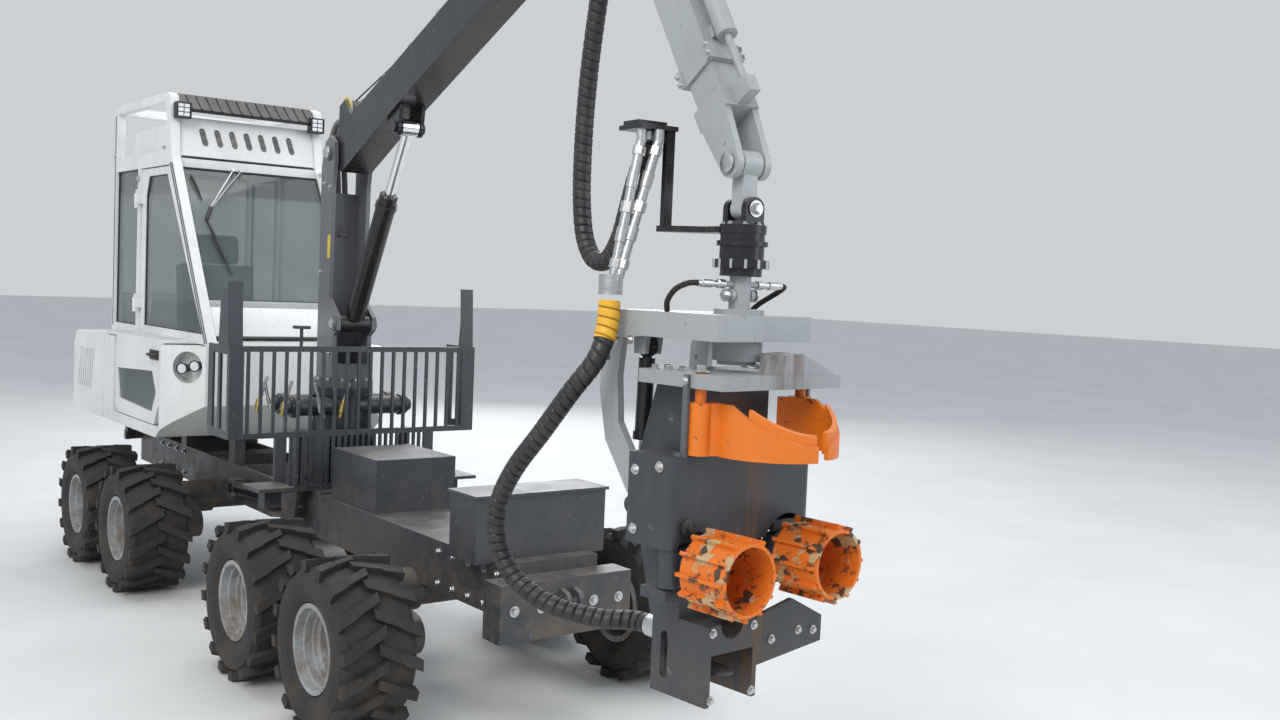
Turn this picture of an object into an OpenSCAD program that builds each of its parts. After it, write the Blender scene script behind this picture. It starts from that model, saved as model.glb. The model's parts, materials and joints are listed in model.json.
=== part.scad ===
// Thinning harvester: an eight-wheeled articulated carrier with its cab on the rear frame,
// its crane on the front frame and a harvester head hanging from the crane.
// X points forward, Y to the machine's left and Z up, with the ground at Z = 0.

/* [Wheels] */
// Tyre diameter over the lugs
tyre_d = 660; // [620:10:690]
// Tyre width
tyre_w = 310; // [280:10:330]
// Rim diameter over its flanges
rim_d = 336; // [320:2:360]
// Height of the tread lugs
lug_h = 26; // [16:1:32]
// Lugs along each side of a tyre
lug_count = 16; // [12:1:18]
// Distance between the two wheels of a bogie
bogie_base = 800; // [760:10:860]
// Width over the tyres
track_w = 1700; // [1660:10:1780]
// Distance from the frame joint back to the rear bogie
rear_bogie = 1100; // [1060:10:1180]
// Distance from the frame joint forward to the front bogie
front_bogie = 1400; // [1300:10:1500]
// Height of the bogie pivot above the axles
bogie_rise = 70; // [40:5:90]
// Radius of the bogie pivot pin
bogie_pin = 65; // [50:1:70]
// Thickness of the bogie beam
bogie_t = 90; // [70:2:100]
// Radius of a wheel spindle
spindle = 30; // [24:1:36]

/* [Frames] */
// Underside of both frames
frame_z = 440; // [430:5:460]
// Depth of both frames
frame_h = 200; // [180:5:220]
// Width of both frames
frame_w = 440; // [400:10:480]
// Plate thickness of the frames
plate = 20; // [12:1:26]
// Radius of the frame joint's upright pin
steer_pin = 30; // [24:1:36]
// Radius of the tube that lets the front frame roll
roll_tube = 70; // [55:1:75]
// Distance from the frame joint back to the tail
tail = 2400; // [2340:10:2460]
// Distance from the frame joint forward to the nose
nose = 2250; // [2200:10:2300]

/* [Cab] */
// Width of the cab over its posts
cab_w = 900; // [840:10:960]
// Width of the body below the windows
body_w = 1270; // [1200:10:1300]
// Underside of the body
body_z = 800; // [790:5:820]
// Height of the window sill
sill_z = 1300; // [1260:10:1340]
// Height of the top of the windows
ceiling_z = 2340; // [2280:10:2400]
// Height of the roof guard
roof_z = 2700; // [2640:10:2760]
// Distance from the frame joint back to the cab's rear posts
cab_back = 2250; // [2200:10:2280]
// Distance from the frame joint back to the front edge of the ceiling
cab_brow = 1130; // [1080:10:1180]
// Distance from the frame joint back to the foot of the windscreen
cab_foot = 460; // [450:5:500]
// Distance from the frame joint back to the door hinge
door_back = 1700; // [1660:10:1740]
// Side of the square cab posts
post = 50; // [40:1:60]
// Glass thickness
glass = 6; // [4:1:10]
// Thickness of the body panels
panel = 20; // [14:1:26]
// Slots in the roof front
slot_count = 7; // [5:1:8]

/* [Crane] */
// Distance from the frame joint forward to the pillar's axis
pillar_x = 210; // [200:5:240]
// Turn of the crane at rest, to the machine's left
slew = -4; // [-8:0.5:0]
// Height of the boom pivot
boom_z = 2310; // [2250:10:2380]
// Boom length between its pins
boom_l = 2600; // [2500:10:2700]
// Rise of the boom at rest
boom_a = 20; // [16:0.5:24]
// Width of the boom
boom_w = 150; // [130:2:170]
// Depth of the boom
boom_h = 190; // [170:2:210]
// Stick length between its pins, drawn in
stick_l = 1330; // [1280:10:1400]
// Slope of the stick at rest
stick_a = -57; // [-60:0.5:-52]
// Travel of the stick's extension
reach = 580; // [500:10:600]
// Radius of the crane's pins
crane_pin = 25; // [20:1:30]

/* [Head] */
// Distance from the tip pin down to the cross pin
link_l = 130; // [120:2:150]
// Height of the rotator
rotator_h = 150; // [130:2:170]
// Radius of the rotator
rotator_r = 76; // [66:1:84]
// Turn of the head from the crane's direction at rest
head_turn = 8; // [0:0.5:12]
// Width over the tilt frame
tilt_w = 400; // [380:2:420]
// Radius of a feed roller over its ribs
roller_r = 118; // [108:1:124]
// Length of a feed roller
roller_l = 170; // [150:2:180]
// Distance between the axes of the feed rollers
roller_gap = 380; // [370:2:400]
// Ribs around a feed roller
rib_count = 12; // [10:1:16]

/* [Hidden] */
$fn = 48;
run = 0.05;
seat_gap = 0.3;

axle_z = tyre_d / 2;
wheel_y = (track_w - tyre_w) / 2;
bogie_z = axle_z + bogie_rise;
frame_y = frame_w / 2;
frame_top = frame_z + frame_h;
frame_mid = frame_z + frame_h / 2;
bogie_y = wheel_y - tyre_w / 2 - 50 - bogie_t;

head_a = slew + head_turn;
tip_r = boom_l * cos(boom_a) + stick_l * cos(stick_a);
tip_z = boom_z + boom_l * sin(boom_a) + stick_l * sin(stick_a);
head_front = 340;
head_x = pillar_x + tip_r * cos(slew);
mid_x = (head_x + head_front * cos(head_a) - tail) / 2;

// Hose from the stick down and up to the manifold, in X and Z from the tip pin
hose_r = 30;
tip_hose_y = -170;
tip_route = [[-565, 600], [-590, 480], [-615, 340], [-632, 190], [-638, 40], [-632, -100], [-605, -215],
    [-545, -285], [-465, -290], [-402, -230], [-362, -145], [-328, -60], [-296, 0], [-274, 34], [-268, 50],
    [-268, 74], [-268, 99.6]];
// Tops of the two couplers under the manifold and their radius
coupler_tops = [[-235, -213], [-215, -164]];
coupler_r = 15;
// Hose from the couplers round to the back of the head, in the head's own U, V and W
head_route = [[-291, -252, 23], [-286, -262, -60], [-285, -300, -150], [-340, -345, -250], [-440, -370,
    -380],
    [-560, -380, -510], [-635, -380, -630], [-645, -370, -750], [-580, -350, -855], [-450, -305, -920],
    [-330, -215, -948], [-245, -150, -945], [-200, -135, -945], [-165, -135, -945], [-130.4, -135, -945]];

white = [0.86, 0.87, 0.86];
light_grey = [0.60, 0.62, 0.64];
dark_blue = [0.16, 0.18, 0.21];
black = [0.06, 0.06, 0.07];
orange = [0.90, 0.36, 0.05];
chrome = [0.75, 0.76, 0.78];
tinted = [0.45, 0.52, 0.52, 0.5];

// Frame joint coordinates to the model's own origin
module base() {
    translate([-mid_x, 0, 0]) children();
}

module both_sides() {
    children();
    mirror([0, 1, 0]) children();
}

module side(s) {
    if (s > 0) children();
    else mirror([0, 1, 0]) children();
}

// A plate drawn in X and Z, from y0 and t thick towards the left
module upright(y0, t) {
    translate([0, y0 + t, 0]) rotate([90, 0, 0]) linear_extrude(t) children();
}

// A cylinder along Y, centred on the machine's middle plane
module pin_y(r, l) {
    rotate([90, 0, 0]) cylinder(r = r, h = l, center = true);
}

// A cylinder along Y from y0 to y1
module rod_y(r, y0, y1) {
    translate([0, y1, 0]) rotate([90, 0, 0]) cylinder(r = r, h = y1 - y0);
}

// A cylinder along X from x0 to x1
module rod_x(r, x0, x1) {
    translate([x0, 0, 0]) rotate([0, 90, 0]) cylinder(r = r, h = x1 - x0);
}

module block(x0, x1, y0, y1, z0, z1) {
    translate([x0, y0, z0]) cube([x1 - x0, y1 - y0, z1 - z0]);
}

// Places on the crane, each in its own plane with X along the member
module on_pillar() {
    base() translate([pillar_x, 0, 0]) rotate([0, 0, slew]) children();
}

module on_boom() {
    on_pillar() translate([0, 0, boom_z]) rotate([0, -boom_a, 0]) children();
}

knuckle_r = boom_l * cos(boom_a);
knuckle_z = boom_z + boom_l * sin(boom_a);

module on_stick() {
    on_pillar() translate([knuckle_r, 0, knuckle_z]) rotate([0, -stick_a, 0]) children();
}

module on_tip() {
    on_pillar() translate([tip_r, 0, tip_z]) children();
}

module on_head() {
    on_tip() translate([0, 0, -head_drop]) rotate([0, 0, head_turn]) children();
}

// A smooth curve through points, n steps to each
function blend_of(a, b, c, d, t) = 0.5 * (2 * b + (c - a) * t + (2 * a - 5 * b + 4 * c - d) * t * t
    + (3 * b - a - 3 * c + d) * t * t * t);
function smooth(p, n) = let (m = len(p) - 1) concat([for (i = [0:m - 1], k = [0:n - 1])
    blend_of(p[max(i - 1, 0)], p[i], p[i + 1], p[min(i + 2, m)], k / n)], [p[m]]);
function unit(v) = v / norm(v);
function carried(t, i, a) = i == len(t) ? [] : let (b = unit(a - t[i] * (a * t[i])))
    concat([b], carried(t, i + 1, b));

// A round hose swept along points
module hose(points, r) {
    sides = 10;
    n = len(points);
    t = [for (i = [0:n - 1]) unit(points[min(i + 1, n - 1)] - points[max(i - 1, 0)])];
    across = carried(t, 0, [0, 1, 0]);
    polyhedron([for (i = [0:n - 1], k = [0:sides - 1])
            points[i] + r * (across[i] * cos(k * 360 / sides) + cross(t[i],
                across[i]) * sin(k * 360 / sides))],
        concat([[for (k = [0:sides - 1]) k]], [[for (k = [sides - 1:-1:0]) (n - 1) * sides + k]],
            [for (i = [0:n - 2], k = [0:sides - 1]) let (a = i * sides + k, b = i * sides + (k + 1) % sides)
                [a, a + sides, b + sides]],
            [for (i = [0:n - 2], k = [0:sides - 1]) let (a = i * sides + k, b = i * sides + (k + 1) % sides)
                [a, b + sides, b]]));
}

// A round bar from p to q
module bar_between(p, q, r) {
    d = q - p;
    translate(p) rotate([0, acos(d[2] / norm(d)), atan2(d[1], d[0])]) cylinder(r = r, h = norm(d));
}

// Cylinders: a foot pin, an eye pin and the line between them

// Length and rise angle of the line from p to q
function span(p, q) = norm(q - p);
function rise(p, q) = atan2(q[1] - p[1], q[0] - p[0]);

// A barrel with its foot eye at the origin, lying along X, its gland fitting a rod of radius rod_r
module barrel(l, r, rod_r, pin, eye_w) {
    difference() {
        union() {
            pin_y(pin + 16, eye_w);
            rod_x(r * 0.6, pin, pin + 26);
            rod_x(r, pin + 20, l);
            rod_x(r + 5, l - 26, l);
        }
        pin_y(pin + run, eye_w + 2);
        rod_x(r * 0.5 + 1, l * 0.25, l - 20);
        rod_x(rod_r + run, l - 21, l + 1);
    }
}

// A rod with its eye at the origin, lying back along X for l
module rod(l, r, pin, eye_w) {
    pin_y(pin + 14, eye_w);
    rod_x(r, -l, -pin);
}

// Wheels and bogies

lug_root = tyre_d / 2 - lug_h;
bead_r = rim_d / 2 - 16;
rim_half = tyre_w / 2 - 20;

// Half width of the tyre at each radius, from the bead to the tread
tyre_side = [[bead_r + seat_gap, rim_half - 16.3], [bead_r + 6.3, rim_half - 10.4],
    [rim_d / 2 + seat_gap, rim_half - 8.4], [rim_d / 2 + 8, rim_half], [rim_d / 2 + 36, tyre_w / 2 - 4],
    [lug_root - 66, tyre_w / 2], [lug_root - 24, tyre_w / 2 - 4], [lug_root - 4, tyre_w / 2 - 26],
    [lug_root, tyre_w / 2 - 70]];

module tyre_shell() {
    n = len(tyre_side);
    rotate_extrude() polygon(concat(
        [for (i = [0:n - 1]) tyre_side[i]],
        [for (i = [n - 1:-1:0]) [tyre_side[i][0], -tyre_side[i][1]]]));
}

// Half of a chevron bar, flat on top: c is the way round the tyre, a the way across it
module lug_piece(c0, c1, a0, a1, bar) {
    turn = (c0 + c1) / (tyre_d - lug_h) * 180 / PI;
    half = (c1 - c0) / 2;
    reach_up = half + bar / 2;
    top = sqrt(tyre_d * tyre_d / 4 - reach_up * reach_up);
    sunk = lug_root - 14;
    rotate([0, 0, turn]) rotate([90, 0, 90]) translate([0, 0, sunk]) linear_extrude(top - sunk)
        polygon([[-half - bar / 2, a0], [bar / 2 - half, a0], [half + bar / 2, a1], [half - bar / 2, a1]]);
}

module lug() {
    w = tyre_w / 2;
    lug_piece(0, 48, -16, w * 0.52, 38);
    lug_piece(46, 82, w * 0.5, w, 44);
}

module tyre() {
    color(black) union() {
        tyre_shell();
        for (i = [0:lug_count - 1]) {
            rotate([0, 0, i * 360 / lug_count]) lug();
            rotate([0, 0, (i + 0.5) * 360 / lug_count]) mirror([0, 0, 1]) lug();
        }
    }
}

// Outer face towards +Z
disc_z = 12;

module rim() {
    flange = rim_d / 2;
    barrel_r = bead_r;
    color(light_grey) rotate_extrude() polygon([
        [spindle + run, disc_z - 18], [spindle + 34, disc_z - 18], [spindle + 34, disc_z - 8],
        [barrel_r - 34, disc_z - 8], [barrel_r - 34, disc_z + 30], [barrel_r - 22, disc_z + 38],
        [barrel_r - 10, disc_z + 38], [barrel_r - 10, -rim_half + 20], [barrel_r - 8, -rim_half],
        [flange, -rim_half], [flange, 8 - rim_half], [barrel_r + 6, 10 - rim_half],
        [barrel_r, 16 - rim_half], [barrel_r, rim_half - 16], [barrel_r + 6, rim_half - 10],
        [flange, rim_half - 8], [flange, rim_half], [barrel_r - 2, rim_half], [barrel_r - 6, rim_half - 30],
        [barrel_r - 14, rim_half - 34], [barrel_r - 16, disc_z + 62], [barrel_r - 26, disc_z + 58],
        [barrel_r - 28, disc_z + 46], [barrel_r - 42, disc_z + 38], [barrel_r - 42, disc_z + 4],
        [spindle + 40, disc_z + 4], [spindle + 34, disc_z + 16], [spindle + run, disc_z + 16]]);
}

module at_wheel(x, s) {
    base() side(s) translate([x, wheel_y, axle_z]) rotate([-90, 0, 0]) children();
}

// Wheels count from the front: 1 and 2 on the front bogie, 3 and 4 on the rear
wheel_x = [front_bogie + bogie_base / 2, front_bogie - bogie_base / 2,
    bogie_base / 2 - rear_bogie, -bogie_base / 2 - rear_bogie];

module tyre_at(i, s) {
    at_wheel(wheel_x[i], s) tyre();
}

module rim_at(i, s) {
    at_wheel(wheel_x[i], s) rim();
}

// Side outline of a bogie beam about its pivot
module bogie_outline() {
    half = bogie_base / 2;
    boss = bogie_pin + 32;
    end = 78;
    circle(r = boss);
    for (s = [-1, 1]) translate([s * half, -bogie_rise]) circle(r = end);
    polygon([[-half - 12, end - bogie_rise - 2], [-30, boss - 6], [30, boss - 6], [half + 12,
        end - bogie_rise - 2],
        [half + 8, -bogie_rise - end + 2], [20, -boss + 8], [-20, -boss + 8], [-half - 8,
            -bogie_rise - end + 2]]);
}

module bogie(x, s) {
    color(dark_blue) base() side(s) translate([x, 0, bogie_z]) {
        difference() {
            union() {
                upright(bogie_y, bogie_t) bogie_outline();
                for (e = [-1, 1]) translate([e * bogie_base / 2, 0, -bogie_rise]) {
                    rod_y(spindle + 40, bogie_y + bogie_t - 1, wheel_y + disc_z - 24);
                    rod_y(spindle, wheel_y - 40, wheel_y + disc_z + 26);
                }
            }
            rod_y(bogie_pin + run, bogie_y - 1, bogie_y + bogie_t + 1);
        }
    }
}

// Both bogie pins of a frame with their retaining plates
module bogie_pins(x) {
    translate([x, 0, bogie_z]) both_sides() {
        rod_y(bogie_pin + 26, frame_y - plate, bogie_y - 5);
        rod_y(bogie_pin, frame_y - plate, bogie_y + bogie_t + 6);
        rod_y(bogie_pin + 14, bogie_y + bogie_t + 5, bogie_y + bogie_t + 17);
    }
    translate([x, 0, bogie_z]) pin_y(bogie_pin + 10, frame_w - plate);
}

// Rear frame

fork_reach = 62;
fork_t = 26;

module fork_plate(z0) {
    translate([0, 0, z0]) linear_extrude(fork_t) difference() {
        union() {
            circle(r = fork_reach);
            polygon([[-190, -frame_y], [-130, -frame_y], [0, -fork_reach], [0, fork_reach], [-130, frame_y],
                [-190, frame_y]]);
        }
        circle(r = steer_pin + run);
    }
}

steer_foot = [-520, 270];
steer_eye = [40, 190];
steer_barrel_r = 34;
steer_rod_r = 16;

// Ears of the rear frame that carry the feet of the steering cylinders
module steer_ears() {
    both_sides() translate([steer_foot[0], steer_foot[1], 0]) {
        for (z = [frame_mid - 44, frame_mid + 26]) translate([0, 0, z]) {
            cylinder(r = 34, h = 18);
            translate([-34, -steer_foot[1] + frame_y - plate / 2, 0])
                cube([68, steer_foot[1] - frame_y + plate / 2, 18]);
        }
        translate([0, 0, frame_mid - 44]) cylinder(r = crane_pin - 7, h = 88);
    }
}

engine = [-2230, -1790, 190, 660, 1120];

// Outline of one of a tow clevis's two eyes, its hole at x and its root 61 mm towards the machine
tow_pin = 16;
tow_z = 520;

module tow_eye(x, way) {
    difference() {
        union() {
            translate([x, tow_z]) circle(r = 36);
            polygon([[x, tow_z - 36], [x - way * 61, tow_z - 60], [x - way * 61, tow_z + 60], [x,
                tow_z + 36]]);
        }
        translate([x, tow_z]) circle(r = tow_pin);
    }
}

module rear_chassis() {
    color(dark_blue) base() union() {
        difference() {
            union() {
                both_sides() block(-tail + 60, -180, frame_y - plate, frame_y, frame_z, frame_top);
                block(-200, -180, -frame_y, frame_y, frame_z, frame_top);
            }
            // Windows that the steering cylinders pass through
            both_sides() block(-480, -170, frame_y - 100, frame_y + 1, frame_mid - 46, frame_mid + 46);
        }
        block(-tail + 40, -tail + 60, -frame_y, frame_y, frame_z, frame_top);
        block(-rear_bogie - 90, -rear_bogie + 90, plate - frame_y, frame_y - plate, frame_z, frame_top);
        block(-620, -600, plate - frame_y, frame_y - plate, frame_z, frame_top);
        block(-1700, -1680, plate - frame_y, frame_y - plate, frame_z, frame_top);
        fork_plate(frame_z);
        fork_plate(frame_top - fork_t);
        steer_ears();
        bogie_pins(-rear_bogie);
        // Engine on its cross bearers
        block(engine[0], engine[1], -engine[2], engine[2], engine[3], engine[4]);
        for (x = [engine[0] + 40, engine[1] - 100])
            block(x, x + 60, plate - frame_y, frame_y - plate, frame_top - 40, engine[3]);
        // Feet that carry the cab
        for (x = [-1560, -760])
            both_sides() block(x, x + 90, frame_y - 60, frame_y, frame_top, body_z - seat_gap);
        both_sides() upright(18, 20) tow_eye(-tail, -1);
        // Rear hood's hinge ears
        both_sides() block(hood_hinge[0] - 30, -tail + 80, 300, 330, frame_top - 60, frame_top);
        both_sides() block(-tail + 40, -tail + 60, frame_y - 4, 330, frame_top - 60, frame_top);
        both_sides() block(hood_hinge[0] - 30, hood_hinge[0] + 24, 300, 330, frame_top - 4, body_z - 26);
        both_sides() translate([hood_hinge[0], 0, hood_hinge[1]]) rod_y(12, 300, 378);
        both_sides() translate([hood_hinge[0], 0, hood_hinge[1]]) rod_y(26, 300, 330);
    }
}

// Body below the windows

hood_hinge = [-2310, 770];
hood_split = -door_back - 10;
half_w = body_w / 2;

// Side outline of the lower body from the hood to the nose
nose_pts = [[hood_split, body_z], [-cab_foot - 260, body_z], [-cab_foot + 20, body_z + 190],
    [-cab_foot + 20, sill_z - seat_gap], [hood_split, sill_z - seat_gap]];

function grow(pts, d) = [[pts[0][0] + d, pts[0][1] + d], [pts[1][0] - d * 0.3, pts[1][1] + d],
    [pts[2][0] - d, pts[2][1] + d * 0.4], [pts[3][0] - d, pts[3][1] - d], [pts[4][0] + d, pts[4][1] - d]];

// Plan outline of the body: full width, tapering to the nose
module body_plan(d) {
    w = half_w - d;
    n = cab_w / 2 - d + 20;
    x1 = 20 - cab_foot - d;
    polygon([[hood_split + d, -w], [-cab_foot - 190, -w], [-cab_foot - 120, -w + 40], [x1, -n], [x1, n],
        [-cab_foot - 120, w - 40], [-cab_foot - 190, w], [hood_split + d, w]]);
}

door_x0 = -door_back + 190;
door_x1 = -cab_foot - 210;
door_z0 = body_z + 60;

// Middle of the corner lamps' recess, the way it faces and its depth
lamp_at = [-cab_foot - 60, -half_w + 100, sill_z - 110];
lamp_turn = -48;
lamp_deep = 70;

module at_lamps() {
    translate(lamp_at) rotate([0, 0, lamp_turn]) rotate([0, 90, 0]) translate([0, 0, -lamp_deep]) children();
}

module cab_body() {
    color(white) base() difference() {
        intersection() {
            upright(-half_w, body_w) polygon(nose_pts);
            translate([0, 0, body_z - 1]) linear_extrude(sill_z) body_plan(0);
        }
        intersection() {
            upright(-half_w, body_w) polygon(grow(nose_pts, panel));
            translate([0, 0, body_z]) linear_extrude(sill_z) body_plan(panel);
        }
        // Open top inside the window posts
        block(hood_split + panel, -cab_foot - post - 30, post - cab_w / 2, cab_w / 2 - post,
            sill_z - 60, sill_z + 1);
        // Recess for the corner lamps
        at_lamps() cylinder(r = 84, h = 200);
        // Doorway on the right, through side and deck
        block(door_x0, door_x1, -half_w - 1, panel - half_w + 1, door_z0, sill_z + 1);
        block(-door_back + 2, door_x1, panel - half_w, -cab_w / 2 + post + 1, sill_z - 60, sill_z + 1);
    }
    // Pot behind the recess
    color(white) base() difference() {
        at_lamps() translate([0, 0, -12]) cylinder(r = 94, h = lamp_deep + 8);
        at_lamps() cylinder(r = 84, h = 200);
    }
    // Jamb behind the rear edge of the door's lower skin
    jamb = [-half_w + panel - 1, -half_w + panel + 8, -half_w + panel + 18];
    color(white) base() union() {
        block(door_x0 - 30, door_x0 - 10, jamb[0], jamb[2], door_z0 + 20, sill_z - 30);
        block(door_x0 - 30, door_x0 + 70, jamb[1], jamb[2], door_z0 + 20, sill_z - 30);
    }
}

// Upper body

// Windscreen pillar line at the outside, from ceiling to foot
brow = [-cab_brow, ceiling_z];
foot = [-cab_foot, sill_z];
screen_a = atan2(brow[1] - foot[1], foot[0] - brow[0]);

module side_frame_outline() {
    top = roof_z;
    back = -cab_back;
    over = -cab_brow - 100;
    p = post;
    lean = p / sin(screen_a);
    difference() {
        polygon([[back, sill_z], [back, top], [over, top], [over + p, top - 20], brow, foot]);
        // Rear side window
        polygon([[back + p, sill_z + p], [back + p, ceiling_z - p], [-door_back - p, ceiling_z - p],
            [-door_back - p, sill_z + p]]);
        // Doorway
        polygon([[-door_back, sill_z - 1], [-door_back, ceiling_z - p], [brow[0] - lean + 20, ceiling_z - p],
            [foot[0] - lean, sill_z - 1]]);
        // Gap under the roof guard
        polygon([[back + p, ceiling_z + p * 0.6], [back + p, top - p], [over - p * 0.5, top - p],
            [brow[0] - p * 1.2, ceiling_z + p * 0.6]]);
    }
}

module roof_front_outline() {
    polygon([[-cab_brow - 8, ceiling_z], [-cab_brow - 30, ceiling_z], [-cab_brow - 92, ceiling_z + 230],
        [-cab_brow - 70, ceiling_z + 230]]);
}

module cab_frame() {
    y0 = cab_w / 2 - post;
    color(white) base() grab_rail();
    color(white) base() union() {
        both_sides() upright(y0, post) side_frame_outline();
        door_hinge_pins();
        // Cross beams: rear top, rear ceiling, rear sill, front top, front ceiling, front sill
        beams = [[-cab_back, roof_z - post], [-cab_back, ceiling_z - post], [-cab_back, sill_z],
            [-cab_brow - 100 - post, roof_z - post], [-cab_brow - post - 4, ceiling_z - post - 10]];
        for (b = beams) block(b[0], b[0] + post, -y0 - 1, y0 + 1, b[1], b[1] + post);
        block(-cab_foot - post - 30, -cab_foot - 18, -y0 - 1, y0 + 1, sill_z, sill_z + 30);
        // Ceiling
        block(-cab_back + 10, -cab_brow - post, -y0 - 1, y0 + 1, ceiling_z - 20, ceiling_z);
        // Rear wall under the rear window
        block(-cab_back, -cab_back + 15, -y0 - 1, y0 + 1, sill_z, sill_z + 240);
        // Roof housing with slots across its front
        difference() {
            union() {
                upright(-y0 + 40, 2 * (y0 - 40)) polygon([[-cab_back + 110, ceiling_z - 1],
                    [-cab_back + 110, ceiling_z + 150], [-cab_back + 150, ceiling_z + 200],
                    [-cab_brow - 130, ceiling_z + 215], [-cab_brow - 88, ceiling_z + 215],
                    [-cab_brow - 28, ceiling_z - 1]]);
                upright(-y0 - 1, 2 * y0 + 2) roof_front_outline();
            }
            upright(-y0 + 60, 2 * (y0 - 60)) polygon([[-cab_back + 130, ceiling_z + 20],
                [-cab_back + 130, ceiling_z + 145], [-cab_back + 160, ceiling_z + 180],
                [-cab_brow - 130, ceiling_z + 195], [-cab_brow - 100, ceiling_z + 195],
                [-cab_brow - 56, ceiling_z + 20]]);
            for (i = [0:slot_count - 1]) {
                y = (i - (slot_count - 1) / 2) * 86;
                translate([-cab_brow - 20, y, ceiling_z + 120]) rotate([12, 0, 0]) slot();
            }
        }
    }
}

// Grab rail before the left windscreen post, its ends against the post's front
module grab_rail() {
    y = cab_w / 2 - post + 20;
    back = seat_gap / sin(screen_a);
    rail = [[-cab_brow - 4, y, ceiling_z - 40], [-cab_brow + 90, y, ceiling_z - 30],
        [-cab_foot - 170, y, sill_z + 330], [-cab_foot - 234, y, sill_z + 330]];
    difference() {
        union() {
            for (i = [0:2]) bar_between(rail[i], rail[i + 1], 14);
            for (i = [1, 2]) translate(rail[i]) sphere(r = 16);
        }
        upright(y - 20, 40) polygon([[brow[0] + back, brow[1]], [foot[0] + back, foot[1]],
            [foot[0] - 300, foot[1]], [brow[0] - 300, brow[1]]]);
    }
}

// One oval slot, cut along X
module slot() {
    rotate([0, -90, 0]) linear_extrude(80) union() {
        translate([34, 0]) circle(r = 18);
        translate([-34, 0]) circle(r = 18);
        square([68, 36], center = true);
    }
}

module cab_glass() {
    y_mid = cab_w / 2 - post / 2 - glass / 2;
    g = seat_gap;
    p = post;
    lean = p / sin(screen_a);
    color(tinted) base() {
        // Rear side windows
        both_sides() upright(y_mid, glass) polygon([[g - cab_back + p, sill_z + p + g],
            [g - cab_back + p, ceiling_z - p - g], [-door_back - p - g, ceiling_z - p - g],
            [-door_back - p - g, sill_z + p + g]]);
        // Left side window
        upright(y_mid, glass) polygon([[g - door_back, sill_z + g], [g - door_back, ceiling_z - p - g],
            [brow[0] - lean + 20 - g * 1.5, ceiling_z - p - g], [foot[0] - lean - g * 1.5 - 1, sill_z + g]]);
        // Windscreen
        translate([foot[0] - 14, 0, foot[1]]) rotate([0, screen_a - 90, 0])
            block(-glass - 6, -6, p - cab_w / 2 + g, cab_w / 2 - p - g, 46, norm(brow - foot) - p - 22);
        // Rear window
        block(-cab_back + 22, -cab_back + 22 + glass, p - cab_w / 2 + g, cab_w / 2 - p - g, sill_z + 240 + g,
            ceiling_z - p - g);
    }
}

module cab_lamps() {
    color([0.12, 0.13, 0.14]) base() {
        // Visor over the roof front
        visor_w = cab_w - 2 * post - 2 * seat_gap;
        upright(-visor_w / 2, visor_w) polygon([[-cab_brow - 100 + seat_gap, roof_z],
            [-cab_brow - 100 + seat_gap, roof_z - 22], [-cab_brow + 14, roof_z - 110], [-cab_brow + 20,
                roof_z - 92]]);
        // Ribs across the visor
        for (i = [-6:6]) upright(i * 58 - 4, 8) polygon([[-cab_brow - 92, roof_z - 8], [-cab_brow + 16,
            roof_z - 100],
            [-cab_brow + 24, roof_z - 88], [-cab_brow - 84, roof_z - 2]]);
        // Cone lamps in the corner recess
        for (d = [-1, 1]) at_lamps() translate([-8 * d, 36 * d, seat_gap]) cylinder(r1 = 18, r2 = 30,
            h = 66);
        // Work lamps at its ends
        both_sides() translate([-cab_brow - 20, cab_w / 2 - 96, roof_z - 150]) lamp_box(84, 76);
    }
}

// A square work lamp facing forward with a recessed front
module lamp_box(w, h) {
    difference() {
        cube([54, w, h + 12]);
        translate([46, 6, 6]) cube([10, w - 12, h]);
    }
}

seat_x = -1350;
// Seat cushion's size and the height of its backrest
seat_l = 470;
seat_w = 480;
seat_t = 110;
back_h = 600;

module cab_seat() {
    color([0.10, 0.11, 0.12]) base() translate([seat_x, 0, 0]) {
        block(-140, 140, -130, 130, body_z + panel + seat_gap, body_z + 240);
        block(10 - seat_l / 2 - 5, seat_l / 2 + 5, -seat_w / 2, seat_w / 2, body_z + 240,
            body_z + 240 + seat_t);
        translate([25 - seat_l / 2, 0, body_z + 230 + seat_t]) rotate([0, -8, 0])
            block(-90, 20, 20 - seat_w / 2, seat_w / 2 - 20, 0, back_h);
        both_sides() block(-150, 200, 260, 330, body_z + 470, body_z + 520);
        both_sides() block(-250, -140, 212, 300, body_z + 480, body_z + 514);
    }
}

// Door with its lower bulge

door_gap = 6;
// The skin's rear edge swings back as the door opens
skin_back = door_x0 + 38;

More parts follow.
